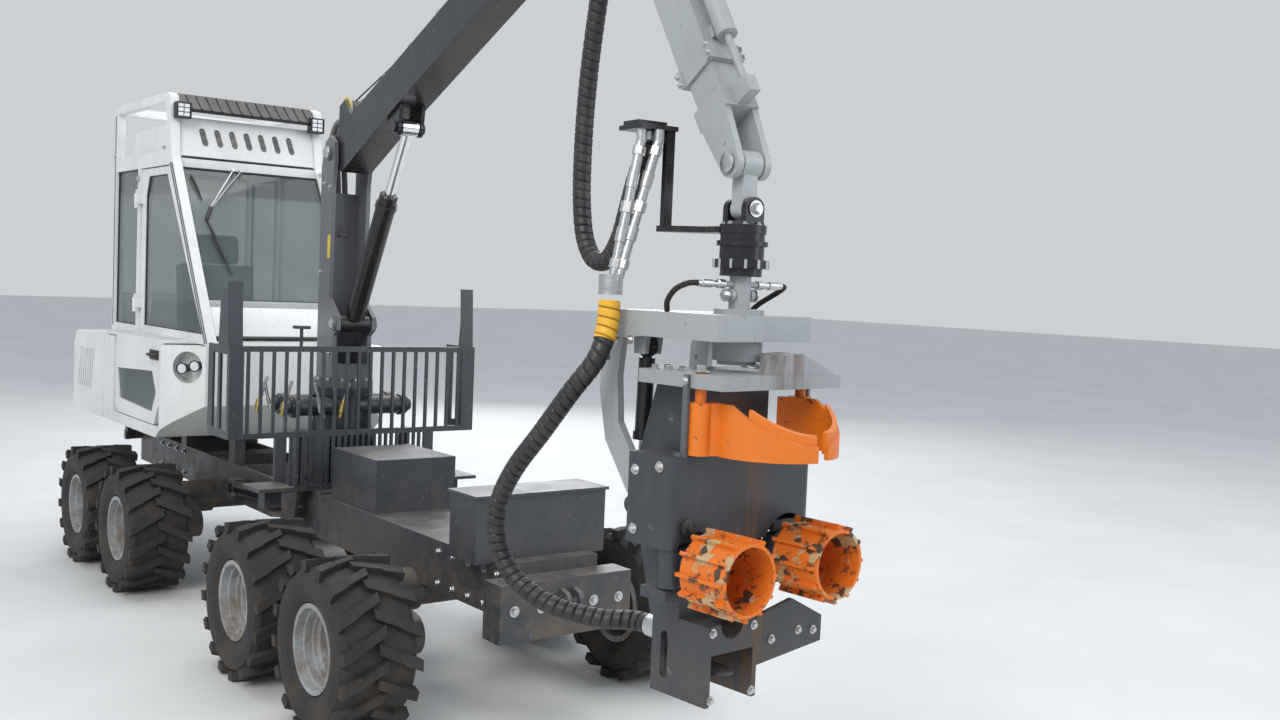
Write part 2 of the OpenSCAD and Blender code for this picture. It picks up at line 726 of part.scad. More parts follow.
module cab_door() {
    y_out = cab_w / 2 - post + 4;
    x_b = -door_back + door_gap;
    lean = post / sin(screen_a);
    top = ceiling_z - post - door_gap;
    f_top = brow[0] - lean + 20 - door_gap;
    f_bot = foot[0] - lean - door_gap - 8;
    color(white) base() mirror([0, 1, 0]) {
        // Upper frame
        upright(y_out, post - 14) difference() {
            polygon([[x_b, sill_z + door_gap], [x_b, top], [f_top, top], [f_bot, sill_z + door_gap]]);
            polygon([[x_b + 80, sill_z + 60], [x_b + 80, top - 160], [x_b + 130, top - 44],
                [f_top - 50, top - 44],
                [f_bot - 58, sill_z + 60]]);
        }
        // Shelf out to the bulge
        block(x_b, door_x1 - door_gap, y_out, half_w - 2, sill_z + door_gap, sill_z + 24);
        // Lower skin with its window
        upright(half_w - panel - 2, panel) difference() {
            polygon([[skin_back, door_z0 + 50], [skin_back, sill_z + 24],
                [door_x1 - door_gap, sill_z + 24], [door_x1 - door_gap, door_z0 + 120],
                [door_x1 - 90, door_z0 + door_gap], [door_x0 + 80, door_z0 + door_gap]]);
            polygon([[door_x0 + 110, door_z0 + 90], [door_x0 + 60, door_z0 + 260], [door_x1 - 130,
                door_z0 + 290],
                [door_x1 - 60, door_z0 + 180], [door_x1 - 130, door_z0 + 70]]);
        }
        // Hinge knuckles
        for (z = [sill_z + 160, ceiling_z - 260]) {
            translate([-door_back, cab_w / 2 + 20, z]) difference() {
                union() {
                    cylinder(r = 14, h = 60);
                    translate([0, -34, 0]) cube([40, 30, 60]);
                }
                translate([0, 0, -1]) cylinder(r = 7 + run, h = 62);
            }
        }
    }
}

module door_hinge_pins() {
    for (z = [sill_z + 160, ceiling_z - 260]) {
        translate([-door_back, -cab_w / 2 - 20, z - 24]) {
            cylinder(r = 7, h = 108);
            cylinder(r = 13, h = 23);
            translate([-14, 0, 0]) cube([22, 22, 23]);
        }
    }
}

module door_glass() {
    y_mid = cab_w / 2 - post / 2 - glass / 2;
    x_b = -door_back + door_gap;
    lean = post / sin(screen_a);
    top = ceiling_z - post - door_gap;
    f_top = brow[0] - lean + 20 - door_gap;
    f_bot = foot[0] - lean - door_gap - 8;
    g = seat_gap;
    color(tinted) base() mirror([0, 1, 0]) {
        upright(y_mid, glass) polygon([[x_b + 80 + g, sill_z + 60 + g], [x_b + 80 + g, top - 160 - g],
            [x_b + 130 + g, top - 44 - g], [f_top - 50 - g, top - 44 - g], [f_bot - 58 - g * 2,
                sill_z + 60 + g]]);
        upright(half_w - panel + 4, glass) polygon([[door_x0 + 110 + g, door_z0 + 90 + g],
            [door_x0 + 60 + g, door_z0 + 260 - g], [door_x1 - 130 - g, door_z0 + 290 - g * 2],
            [door_x1 - 60 - g * 2, door_z0 + 180], [door_x1 - 130 - g, door_z0 + 70 + g * 2]]);
    }
}

// Engine hood: a tail shell that tips back on its lower hinge

module engine_hood() {
    x0 = -tail;
    x1 = hood_split - 6;
    deck = -cab_back - 12;
    color(white) base() difference() {
        upright(-half_w, body_w) polygon([[x0 + 30, body_z], [x0, body_z + 60], [x0, sill_z - 90],
            [x0 + 60, sill_z - 10], [x1, sill_z - 6], [x1, body_z]]);
        upright(panel - half_w, body_w - 2 * panel) polygon([[x0 + 30 + panel, body_z - 1],
            [x0 + panel, body_z + 60], [x0 + panel, sill_z - 96], [x0 + 66 + panel, sill_z - 10 - panel],
            [x1 + 1, sill_z - 6 - panel], [x1 + 1, body_z - 1]]);
        // Clear of the cab's tail
        block(deck, x1 + 1, -cab_w / 2 - 12, cab_w / 2 + 12, sill_z - 60, sill_z + 1);
        // Slanted slots of the side grilles
        for (i = [0:6]) {
            translate([x0 + 110 + i * 46, 0, body_z + 150]) upright(-half_w - 1, body_w + 2)
                polygon([[0, 0], [22, 0], [82, 240], [60, 240]]);
        }
        // Hinge sleeves' seat
        both_sides() block(x0 - 1, hood_hinge[0] + 40, 290, 340, body_z - 20, body_z + 80);
    }
    color(white) base() both_sides() difference() {
        union() {
            translate([hood_hinge[0], 0, hood_hinge[1]]) rod_y(22, 336, 376);
            block(hood_hinge[0] - 20, hood_hinge[0] + 20, 342, 370, hood_hinge[1], body_z + 70);
            block(-tail + 6, hood_hinge[0] + 20, 342, 370, body_z + 46, body_z + 70);
        }
        translate([hood_hinge[0], 0, hood_hinge[1]]) rod_y(12 + run, 330, 380);
    }
}

// Frame joint: a block on the upright pin, with the tube that the front frame rolls on

tube_x = [95, 470];

module joint_block() {
    z0 = frame_z + fork_t + seat_gap;
    z1 = frame_top - fork_t - seat_gap;
    color(dark_blue) base() {
        difference() {
            union() {
                translate([0, 0, z0]) cylinder(r = fork_reach - 4, h = z1 - z0);
                block(10, tube_x[0] + 8, 8 - fork_reach, fork_reach - 8, z0, z1);
                translate([0, 0, frame_mid]) rod_x(roll_tube, tube_x[0] - 30, tube_x[1]);
                // Ears for the steering rods
                for (z = [frame_mid - 46, frame_mid + 28]) translate([0, 0, z]) linear_extrude(18)
                    both_halves() steer_ear();
            }
            // Room for the rod eyes between the ears
            both_sides() translate([steer_eye[0], steer_eye[1], frame_mid - 28]) cylinder(r = 62, h = 56);
        }
        translate([0, 0, frame_z - 12]) cylinder(r = steer_pin, h = frame_h + 24);
    }
}

module both_halves() {
    children();
    mirror([0, 1]) children();
}

module steer_ear() {
    translate([steer_eye[0], steer_eye[1]]) circle(r = 34);
    polygon([[8, 30], [90, 30], [steer_eye[0] + 32, steer_eye[1] - 10], [steer_eye[0] - 32,
        steer_eye[1] - 10]]);
}

// Steering cylinders, their feet on the rear frame and their eyes between the joint block's ears
steer_len = span(steer_foot, steer_eye);
steer_dir = rise(steer_foot, steer_eye);

module on_steer(s) {
    base() side(s) translate([steer_foot[0], steer_foot[1], frame_mid]) rotate([0, 0, steer_dir])
        rotate([90, 0, 0]) children();
}

module steer_barrel(s) {
    color(black) on_steer(s) barrel(steer_len - 170, steer_barrel_r, steer_rod_r, crane_pin - 7, 50);
}

module steer_rod(s) {
    color(chrome) on_steer(s) translate([steer_len, 0, 0]) rod(steer_len - 226, steer_rod_r,
        crane_pin - 7, 54);
}

// Front frame

pedestal_r = 150;
pedestal_z = 1150;
slew_bore = 45;
spigot = 60;

module front_chassis() {
    color(dark_blue) base() difference() {
        union() {
            both_sides() block(140, nose - 120, frame_y - plate, frame_y, frame_z, frame_top);
            // Bearing of the roll tube
            translate([0, 0, frame_mid]) rod_x(roll_tube + 22, 130, 440);
            for (x = [140, 400]) block(x, x + 24, plate - frame_y, frame_y - plate, frame_z, frame_top);
            // Bogie axle and cross members
            block(front_bogie - 90, front_bogie + 90, plate - frame_y, frame_y - plate, frame_z, frame_top);
            block(nose - 140, nose - 120, -frame_y, frame_y, frame_z, frame_top);
            block(860, 880, plate - frame_y, frame_y - plate, frame_z, frame_top);
            bogie_pins(front_bogie);
            // Crane pedestal and its deck
            block(110, 470, -frame_y, frame_y, frame_top - 10, frame_top + 20);
            translate([pillar_x, 0, frame_top]) cylinder(r = pedestal_r - 24, h = pedestal_z - frame_top);
            translate([pillar_x, 0, pedestal_z - 40]) cylinder(r = pedestal_r, h = 40);
            translate([pillar_x, 0, pedestal_z - 1]) cylinder(r = spigot, h = 81);
            // Slewing cylinders either side of the pedestal
            for (x = [-80, 80]) translate([pillar_x + x, 0, pedestal_z - 92]) {
                pin_y(slew_bore, 620);
                both_sides() rod_y(slew_bore + 8, 270, 300);
                both_sides() rod_y(slew_bore - 14, 300, 330);
            }
            for (a = [45:90:315]) translate([pillar_x, 0, frame_top + 10]) rotate([0, 0, a])
                upright(-8, 16) polygon([[100, 0], [200, 0], [pedestal_r - 20, pedestal_z - frame_top - 50],
                    [100, pedestal_z - frame_top - 50]]);
            // Deck, box and bumper towards the nose
            block(470, nose - 120, -frame_y, frame_y, frame_top - 10, frame_top + 8);
            block(560, 1020, -frame_y + 20, frame_y - 20, frame_top, frame_top + 250);
            block(nose - 390, nose - 190, -300, 300, frame_top, frame_top + 250);
            block(nose - 400, nose - 180, -310, 310, frame_top + 250, frame_top + 262);
            block(nose - 120, nose, -300, 300, frame_z - 60, frame_top - 40);
            both_sides() upright(18, 20) tow_eye(nose + 20, 1);
        }
        translate([0, 0, frame_mid]) rod_x(roll_tube + run, 120, 480);
    }
}

// Barred guard round the crane's foot
guard_x = [120, 400];
guard_y = 650;
guard_z = [frame_top + 20 + seat_gap, 950, 1360];
bar_t = 14;
bar_pitch = 62;

module guard_bars(y1, z0, z1, pitch) {
    n = floor(y1 / pitch);
    for (i = [-n:n]) block(guard_x[1] - bar_t, guard_x[1], i * pitch - bar_t / 2,
        i * pitch + bar_t / 2, z0, z1);
}

module crane_guard() {
    low_y = 420;
    color(dark_blue) base() union() {
        // Rails
        for (z = [guard_z[1] - 26, guard_z[2] - 26])
            block(guard_x[1] - 26, guard_x[1], -guard_y, guard_y, z, z + 26);
        block(guard_x[1] - 26, guard_x[1], -low_y, low_y, guard_z[0], guard_z[0] + 26);
        guard_bars(guard_y - 40, guard_z[1] - 10, guard_z[2] - 10, bar_pitch);
        guard_bars(low_y - 30, guard_z[0] + 10, guard_z[1] - 10, bar_pitch * 0.5);
        both_sides() {
            // Wide end posts and wings back towards the cab
            block(guard_x[1] - 30, guard_x[1], guard_y - 70, guard_y, guard_z[1] - 20, guard_z[2]);
            block(guard_x[0], guard_x[1] - 10, guard_y - 12, guard_y, guard_z[1] - 26, guard_z[1] + 14);
            block(guard_x[0], guard_x[1] - 10, guard_y - 12, guard_y, guard_z[2] - 40, guard_z[2]);
            block(guard_x[0], guard_x[0] + 60, guard_y - 12, guard_y, guard_z[1] - 26, guard_z[2]);
            block(guard_x[0] + 130, guard_x[0] + 160, guard_y - 12, guard_y, guard_z[1] - 26, guard_z[2]);
            block(guard_x[1] - 26, guard_x[1], low_y - 40, low_y, guard_z[0], guard_z[1]);
            // Legs standing against the frame
            upright(frame_y + 60, 14) polygon([[guard_x[1] - 20, guard_z[0] + 20], [guard_x[1] - 20,
                guard_z[1]],
                [guard_x[1] - 90, guard_z[1]], [guard_x[1] - 220, frame_top - 40], [guard_x[1] - 220,
                    frame_z + 20],
                [guard_x[1] - 80, frame_z + 20]]);
            block(guard_x[1] - 200, guard_x[1] - 100, frame_y + seat_gap, frame_y + 62, frame_z + 60,
                frame_z + 120);
            // Step beside the guard
            block(guard_x[1] - 10, guard_x[1] + 190, low_y - 20, low_y + 150, guard_z[0] + 40,
                guard_z[0] + 56);
            block(guard_x[1] + 30, guard_x[1] + 110, low_y + 10, low_y + 90, guard_z[0] - 50,
                guard_z[0] + 42);
        }
    }
    color(dark_blue) base() {
        both_sides() guard_shield();
        guard_mirror();
    }
}

// A bent shield that leans back above an end post
module guard_shield() {
    foot_z = guard_z[2] + seat_gap;
    x = guard_x[1];
    upright(guard_y - 70, 70) polygon([[x - 30, foot_z], [x - 22, foot_z], [x - 40, foot_z + 300],
        [x - 48, foot_z + 300]]);
    upright(guard_y - 12, 12) polygon([[x - 26, foot_z], [x - 42, foot_z + 250], [x - 130, foot_z + 210],
        [x - 150, foot_z]]);
}

// A round mirror on its stalk
module guard_mirror() {
    translate([guard_x[1] - 13, -300, guard_z[2] + seat_gap]) {
        cylinder(r = 8, h = 90);
        translate([0, 0, 84]) cylinder(r = 42, h = 14);
    }
}

// Crane

column = [-110, 112];
cheek_y = [boom_w / 2 + 5, boom_w / 2 + 25];
lift_foot = [120, 1470 - boom_z];

module column_outline() {
    a = column[0];
    b = column[1];
    polygon([[a, pedestal_z + 30], [b, pedestal_z + 30], [b, boom_z + lift_foot[1] - 60],
        [lift_foot[0] + 44, boom_z + lift_foot[1] - 30], [lift_foot[0] + 44, boom_z + lift_foot[1] + 34],
        [40, boom_z + lift_foot[1] + 120], [46, boom_z - 160], [70, boom_z - 40], [60, boom_z + 50],
        [0, boom_z + 86], [-60, boom_z + 60], [a, boom_z - 60]]);
}

module pillar() {
    y0 = cheek_y[0];
    color(light_grey) on_pillar() difference() {
        union() {
            translate([0, 0, pedestal_z + seat_gap]) cylinder(r = pedestal_r, h = 36);
            block(column[0], column[1], -y0 - 10, y0 + 10, pedestal_z + 30, pedestal_z + 100);
            both_sides() upright(y0, cheek_y[1] - y0) column_outline();
            block(column[0], column[0] + 18, -y0 - 1, y0 + 1, pedestal_z + 30, boom_z - 190);
            block(column[1] - 18, column[1], -y0 - 1, y0 + 1, pedestal_z + 30, boom_z + lift_foot[1] - 200);
            for (p = [[0, boom_z], [lift_foot[0], boom_z + lift_foot[1]]]) translate([p[0], 0, p[1]]) {
                pin_y(crane_pin, 2 * cheek_y[1] + 20);
                both_sides() rod_y(crane_pin + 14, cheek_y[1] - 1, cheek_y[1] + 8);
            }
        }
        translate([0, 0, pedestal_z - 1]) cylinder(r = spigot + run, h = 84);
    }
}

// Side outline of the boom, its pivot at the origin
module boom_outline() {
    h = boom_h / 2;
    circle(r = 62);
    polygon([[-40, -48], [60, -h - 30], [520, -h - 10], [boom_l - 500, -h + 10], [boom_l - 60, -56],
        [boom_l - 60, 56], [boom_l - 500, h - 20], [420, h], [60, h], [-40, 48]]);
    translate([boom_l, 0]) circle(r = 62);
    polygon([[boom_l - 80, -60], [boom_l, -60], [boom_l, 60], [boom_l - 80, 60]]);
}

lift_eye = [700, -174];
fold_foot = [boom_l - 1040, boom_h / 2 + 55];
fork_y = [boom_w / 2 - 22, boom_w / 2];

module lug_plates(p, r, y0, y1, drop) {
    both_sides() upright(y0, y1 - y0) {
        translate(p) circle(r = r);
        polygon([[p[0] - r - 40, p[1] + drop], [p[0] - r + 2, p[1]], [p[0] + r - 2, p[1]],
            [p[0] + r + 40, p[1] + drop]]);
    }
}

module boom() {
    w = boom_w / 2;
    color(black) on_boom() difference() {
        union() {
            upright(-w, boom_w) boom_outline();
            lug_plates(lift_eye, 40, 44, 62, 80);
            lug_plates(fold_foot, 36, 38, 54, -70);
            translate([fold_foot[0], 0, fold_foot[1]]) pin_y(crane_pin - 5, 120);
            translate([lift_eye[0], 0, lift_eye[1]]) both_sides() rod_y(crane_pin, 44, 74);
            translate([boom_l, 0, 0]) both_sides() rod_y(crane_pin + 12, w - 1, w + 8);
            // Hose clamps along the top
            for (x = [300:300:1400]) block(x, x + 34, -52, 52, boom_h / 2 - 24, boom_h / 2 + 26);
        }
        pin_y(crane_pin + run, boom_w + 2);
        // Fork for the stick's root
        translate([boom_l, 0, 0]) pin_y(98, 2 * fork_y[0]);
        block(boom_l - 10, boom_l + 100, -fork_y[0], fork_y[0], -100, 100);
        block(boom_l - 140, boom_l + 100, -fork_y[0], fork_y[0], -10, 100);
        // Room for the winch
        translate([winch_at[0], 0, winch_at[1]]) pin_y(winch_r + 8, winch_w + 8);
    }
    color(black) on_boom() {
        // Winch rope to its clamp
        translate([winch_at[0] + 10, 0, winch_at[1] + 47]) rotate([0, rope_fall, 0]) rod_x(4, 0, 1085);
        translate([boom_l, 0, 0]) pin_y(crane_pin, boom_w);
        // Hydraulic pipes along the top
        for (i = [0:3]) translate([0, i * 22 - 33, boom_h / 2 + 14]) rod_x(8, 310, 1410);
        // Winch brackets
        both_sides() upright(winch_w / 2 + 4.3, 12) polygon([[winch_at[0] - 90, boom_h / 2 - 10],
            [winch_at[0] - 40, winch_at[1] + 40], [winch_at[0] + 40, winch_at[1] + 40],
            [winch_at[0] + 90, boom_h / 2 - 10]]);
        translate([winch_at[0], 0, winch_at[1]]) pin_y(14, winch_w + 32);
    }
}

winch_at = [130, boom_h / 2 + 80];
winch_r = 66;
winch_w = 90;
rope_fall = 5.6;

module winch_drum() {
    color(light_grey) on_boom() translate([winch_at[0], 0, winch_at[1]]) difference() {
        union() {
            pin_y(40, winch_w);
            both_sides() rod_y(winch_r, winch_w / 2 - 8, winch_w / 2);
        }
        pin_y(14 + run, winch_w + 2);
    }
}

// Lift cylinder, in the crane's plane
function boom_point(p) = [p[0] * cos(boom_a) - p[1] * sin(boom_a), p[0] * sin(boom_a) + p[1] * cos(boom_a)];
function from_knuckle(p) = [boom_l * cos(boom_a) + p[0] * cos(stick_a) - p[1] * sin(stick_a),
    boom_l * sin(boom_a) + p[0] * sin(stick_a) + p[1] * cos(stick_a)];

lift_rod_r = 22;
// What the lift barrel and rod stop short of at rest
lift_short = [400, 420];
lift_top = boom_point(lift_eye);
lift_len = span(lift_foot, lift_top);
lift_dir = rise(lift_foot, lift_top);

module on_lift() {
    on_pillar() translate([lift_foot[0], 0, boom_z + lift_foot[1]]) rotate([0, -lift_dir, 0]) children();
}

module lift_barrel() {
    color(black) on_lift() barrel(lift_len - lift_short[0], 46, lift_rod_r, crane_pin, 2 * cheek_y[0] - 10);
}

module lift_rod() {
    color(chrome) on_lift() translate([lift_len, 0, 0]) rod(lift_len - lift_short[1], lift_rod_r,
        crane_pin, 76);
}

// Fold cylinder, along the top of the boom
fold_eye = [-120, 120];
fold_rod_r = 18;
fold_short = [300, 424];
fold_base = boom_point(fold_foot);
fold_top = from_knuckle(fold_eye);
fold_len = span(fold_base, fold_top);
fold_dir = rise(fold_base, fold_top);

module on_fold() {
    on_pillar() translate([fold_base[0], 0, boom_z + fold_base[1]]) rotate([0, -fold_dir, 0]) children();
}

module fold_barrel() {
    color(black) on_fold() barrel(fold_len - fold_short[0], 38, fold_rod_r, crane_pin - 5, 66);
}

module fold_rod() {
    color(chrome) on_fold() translate([fold_len, 0, 0]) rod(fold_len - fold_short[1], fold_rod_r,
        crane_pin - 5, 60);
}

// Stick: a box tube that the extension slides in
tube_w = 58;
tube_h = 72;
wall = 10;
tube = [120, stick_l - 330];
slide_gap = 0.4;

module stick() {
    r = fork_y[0] - 3;
    color(light_grey) on_stick() difference() {
        union() {
            pin_y(60, 2 * r);
            upright(-r, 2 * r) polygon([[0, -60], [tube[0] + 20, -tube_h], [tube[0] + 20, tube_h], [0, 60]]);
            // Lever for the fold cylinder
            both_sides() upright(r - 16, 16) {
                translate(fold_eye) circle(r = 36);
                polygon([[fold_eye[0] - 30, fold_eye[1] - 14], [-56, -20], [60, 40], [tube[0] + 20,
                    tube_h - 2],
                    [fold_eye[0] + 28, fold_eye[1] + 20]]);
            }
            difference() {
                block(tube[0], tube[1], -tube_w, tube_w, -tube_h, tube_h);
                block(tube[0] + 20, tube[1] + 1, wall - tube_w, tube_w - wall, wall - tube_h, tube_h - wall);
            }
            block(tube[1] - 60, tube[1], -tube_w - 8, tube_w + 8, -tube_h - 8, wall - tube_h);
            block(tube[1] - 60, tube[1], -tube_w - 8, tube_w + 8, tube_h - wall, tube_h + 8);
            // Extension cylinder on top
            for (x = [tube[0] + 60, tube[1] - 120]) block(x, x + 40, -22, 22, tube_h - 2, tube_h + 14);
            translate([0, 0, tube_h + 42]) rod_x(32, tube[0] + 30, tube[1] - 60);
        }
        pin_y(crane_pin + run, 200);
        // Room for the rod eye between the lever plates
        translate([fold_eye[0], 0, fold_eye[1]]) pin_y(58, 2 * (r - 16));
        translate([0, 0, tube_h + 42]) rod_x(13, tube[0] + 80, tube[1]);
    }
}

module stick_extension() {
    w = tube_w - wall - slide_gap;
    h = tube_h - wall - slide_gap;
    x1 = stick_l - 190;
    // Stays 240 mm in the tube at full reach
    root = tube[1] - reach - 240;
    color(light_grey) on_stick() difference() {
        union() {
            difference() {
                block(root, x1, -w, w, -h, h);
                block(root - 1, x1 - 30, 9 - w, w - 9, 9 - h, h - 9);
            }
            // Tip casting with its cheeks
            block(x1 - 40, x1 + 30, -w - 14, w + 14, -h - 10, h + 10);
            both_sides() upright(40, 22) {
                translate([stick_l, 0]) circle(r = 44);
                polygon([[x1, -h - 6], [stick_l, -44], [stick_l, 44], [x1, h + 6]]);
            }
            // Lug and rod of the extension cylinder
            block(x1 - 30, x1 + 26, -20, 20, h, tube_h + 68);
            translate([0, 0, tube_h + 42]) rod_x(12, tube[0] + 100, x1 + 10);
            translate([stick_l, 0, 0]) pin_y(crane_pin - 4, 140);
        }
    }
}

// Link and rotator between stick and head

cross_pin = 17;

module tip_link() {
    color(light_grey) on_tip() difference() {
        union() {
            pin_y(crane_pin + 16, 68);
            block(-26, 26, -26, 26, -link_l + 10, -18);
            translate([0, 0, -link_l]) rod_x(30, -26, 26);
            translate([0, 0, -link_l]) rod_x(cross_pin, -62, 62);
        }
        pin_y(crane_pin - 4 + run, 80);
    }
}

rotor_top = link_l + 46;
rotor_end = rotor_top + rotator_h;
shaft_r = 32;

module rotator() {
    color(black) on_tip() difference() {
        union() {
            for (x = [-54, 32]) {
                translate([0, 0, -link_l]) rod_x(34, x, x + 22);
                block(x, x + 22, -34, 34, -rotor_top - 2, -link_l);
            }
            translate([0, 0, -rotor_top - 26]) cylinder(r = rotator_r - 6, h = 26);
            translate([0, 0, -rotor_end + 44]) cylinder(r = rotator_r - 10, h = rotator_h - 68);
            translate([0, 0, -rotor_top - 62]) cylinder(r = rotator_r, h = 14);
            translate([0, 0, -rotor_end + 24]) cylinder(r = rotator_r + 3, h = 24);
            translate([0, 0, -rotor_end]) cylinder(r = rotator_r - 14, h = 30);
            // Hose guide and manifold
            translate([0, 0, -rotor_top - 24]) linear_extrude(18) polygon([[-30, -60], [-30, 60], [-110, 40],
                [-250, -95], [-250, -135], [-215, -135], [-100, -60]]);
            block(-240, -220, -130, -100, -rotor_top - 24, 110);
            block(-330, -205, -232, -100, 100, 114);
            block(-322, -238, -222, -120, 113, 128);
        }
        translate([0, 0, -link_l]) rod_x(cross_pin + run, -80, 80);
        translate([0, 0, -rotor_end - 1]) cylinder(r = shaft_r + run, h = 62);
    }
}

// Head, with its own U to the front, V to the left and W up from the tilt frame's top
shaft_l = 112;
head_drop = rotor_end + shaft_l;
tilt_pin = [-190, -510];
beam_h = 75;
beam_u = [-335, 110];
arm_t = 24;

module arm_outline() {
    polygon([[beam_u[0] + 10, -10], [-375, -110], [-380, -250], [-345, -400], [-236, -546], [-150, -546],
        [-146, -476], [-214, -440], [-288, -340], [-300, -200], [-286, -beam_h - 10], [-200, -beam_h],
        [-180, -10]]);
    translate(tilt_pin) circle(r = 44);
}

arm_hole = [-345, -150];

module tilt_frame() {
    w = tilt_w / 2;
    color(light_grey) on_head() {
        union() {
            // Shaft into the rotator
            cylinder(r = shaft_r, h = shaft_l + 60);
            translate([0, 0, -10]) cylinder(r = 74, h = 26);
            difference() {
                block(beam_u[0], beam_u[1], -w, w, -beam_h, 0);
                block(beam_u[0] + 20, beam_u[1] - 20, 20 - w, w - 20, -beam_h - 1, -16);
                // Pressed recess in each side
                both_sides() upright(w - 5, 6) {
                    translate([beam_u[0] + 40, -38]) circle(r = 16);
                    translate([beam_u[0] + 100, -38]) circle(r = 16);
                    translate([beam_u[0] + 40, -54]) square([60, 32]);
                }
            }
            translate([0, 0, -beam_h - 60]) cylinder(r = 74, h = beam_h + 50);
            translate([0, 0, -beam_h - 72]) cylinder(r = 58, h = 14);
            // Cross bolt and swivel ports under the rotator
            translate([0, 0, 56]) pin_y(11, 118);
            translate([0, 0, 56]) both_sides() rod_y(19, 34, 48);
            translate([0, 0, 88]) both_sides() rod_y(9, 20, 90);
            both_sides() upright(w - arm_t, arm_t) difference() {
                arm_outline();
                translate(arm_hole) circle(r = 9);
            }
            translate([tilt_pin[0], 0, tilt_pin[1]]) both_sides() rod_y(crane_pin, w - arm_t - 44, w - 2);
            // Bracket of the tilt cylinder
            for (v = [-150, -98]) upright(v, 16) polygon([[tilt_foot[0] - 30, -10], [tilt_foot[0] + 40, -10],
                [tilt_foot[0] + 24, tilt_foot[1] - 22], [tilt_foot[0] - 24, tilt_foot[1] - 22]]);
            translate([tilt_foot[0], 0, tilt_foot[1]]) rod_y(14, -146, -86);
        }
    }
}

tilt_foot = [-262, -110];
tilt_eye = [tilt_pin[0] - 84, tilt_pin[1] - 84];
tilt_v = -116;
tilt_rod_r = 11;
tilt_len = span(tilt_foot, tilt_eye);
tilt_dir = rise(tilt_foot, tilt_eye);

module on_tilt() {
    on_head() translate([tilt_foot[0], tilt_v, tilt_foot[1]]) rotate([0, -tilt_dir, 0]) children();
}

module tilt_barrel() {
    color(black) on_tilt() barrel(tilt_len - 200, 25, tilt_rod_r, 14, 30);
}

module tilt_rod() {
    color(chrome) on_tilt() translate([tilt_len, 0, 0]) rod(tilt_len - 252, tilt_rod_r, 14, 30);
}

// Body of the head
body_v = tilt_w / 2 - arm_t - 5;
arm_pivot = [20, 255];
roller_w = -715;
roller_u = 100;
knife_pivot = [70, 212];

// Plan of the front housing, its front corners rounded, drawn in by d
module housing_plan(d) {
    u = 60 - d;
    v = 300 - d;
    r = 34 - d;
    translate([d - 120, -v]) square([u - r + 120 - d, 2 * v]);
    translate([d - 120, r - v]) square([u + 120 - d, 2 * (v - r)]);
    for (s = [-1, 1]) translate([u - r, s * (v - r)]) circle(r = r);
}

module head_body() {
    color(dark_blue) on_head() difference() {
        union() {
            // Spine between the tilt arms
            block(-120, -20, -body_v + 20, body_v - 20, -900, -200);
            both_sides() upright(body_v - 22, 22) polygon([[-150, -200], [-20, -200], [-20, -900],
                [-140, -900],
                [-235, -560], [-235, -470]]);
            // Top plate that carries the knives
            block(-150, 190, -250, 250, -205, -165);
            // Arched cover on the right of the top plate
            rotate([90, 0, 90]) translate([0, 0, 92]) linear_extrude(96)
                polygon([[-6, -180], [4, -108], [80, -104], [170, -140], [236, -170], [236, -180]]);
            // Front housing, open below, with arched cut-outs over the rollers
            difference() {
                translate([0, 0, -660]) linear_extrude(260) housing_plan(0);
                translate([0, 0, -661]) linear_extrude(249) housing_plan(12);
                for (s = [-1, 1]) translate([0, s * 195, -700]) rod_x(s < 0 ? 84 : 104, 20, 70);
                for (s = [-1, 1]) translate([0, s * 195, -745]) rod_x(104, 20, 70);
            }
            // Floor and pivots of the roller arms
            for (w = [-810, -650]) both_sides() block(-60, 44, 150, 290, w, w + 32);
            // Lower housing for the saw
            difference() {
                block(-130, 100, -170, 40, -1120, -886);
                translate([0, 0, -1121]) block(-112, 101, -152, 22, 0, 150);
                // Dished top edge and the slot in its side
                translate([60, -70, -886]) rod_x(46, -30, 60);
                upright(-171, 22) {
                    translate([-92, -1060]) square([30, 110]);
                    translate([-77, -950]) circle(r = 15);
                    translate([-77, -1060]) circle(r = 15);
                }
            }
            // Guide bar in the saw housing
            translate([0, 0, -1040]) linear_extrude(8) {
                translate([-60, -70]) circle(r = 40);
                translate([-60, -110]) square([120, 80]);
                translate([60, -70]) circle(r = 40);
            }
            block(-112, -84, -90, -50, -1060, -1010);
            // Flap plate on the left
            rotate([90, 0, 90]) translate([0, 0, 84]) linear_extrude(16)
                polygon([[30, -884], [190, -850], [330, -920], [330, -1000], [30, -1030]]);
        }
        translate([tilt_pin[0], 0, tilt_pin[1]]) pin_y(crane_pin + run, 500);
        // Room for the tilt cylinder's eye
        for (s = [-1, 1]) translate([arm_pivot[0], s * arm_pivot[1], -900]) cylinder(r = 16 + run, h = 300);
        for (s = [-1, 1]) translate([knife_pivot[0], s * knife_pivot[1], -220]) cylinder(r = 16 + run,
            h = 100);
    }
    color(dark_blue) on_head() {
        for (v = [tilt_v - 36, tilt_v + 22]) upright(v, 14) {
            translate(tilt_eye) circle(r = 26);
            polygon([[tilt_eye[0] - 10, tilt_eye[1] + 24], [-140, tilt_eye[1] + 30], [-110,
                tilt_eye[1] - 60],
                [tilt_eye[0], tilt_eye[1] - 25]]);
        }
    }
}

module roller_arm(s) {
    color(dark_blue) on_head() side(s) union() {
        translate([arm_pivot[0], arm_pivot[1], roller_w - 93]) cylinder(r = 16, h = 184);
        translate([arm_pivot[0], arm_pivot[1], roller_w - 58]) cylinder(r = 34, h = 112);
        block(arm_pivot[0] - 22, arm_pivot[0] + 30, roller_gap / 2 - 10, arm_pivot[1], roller_w - 50,
            roller_w + 42);
        translate([0, roller_gap / 2, roller_w]) {
            rod_x(60, 8, roller_u - 6);
            rod_x(20, 0, roller_u + 26);
        }
    }
}

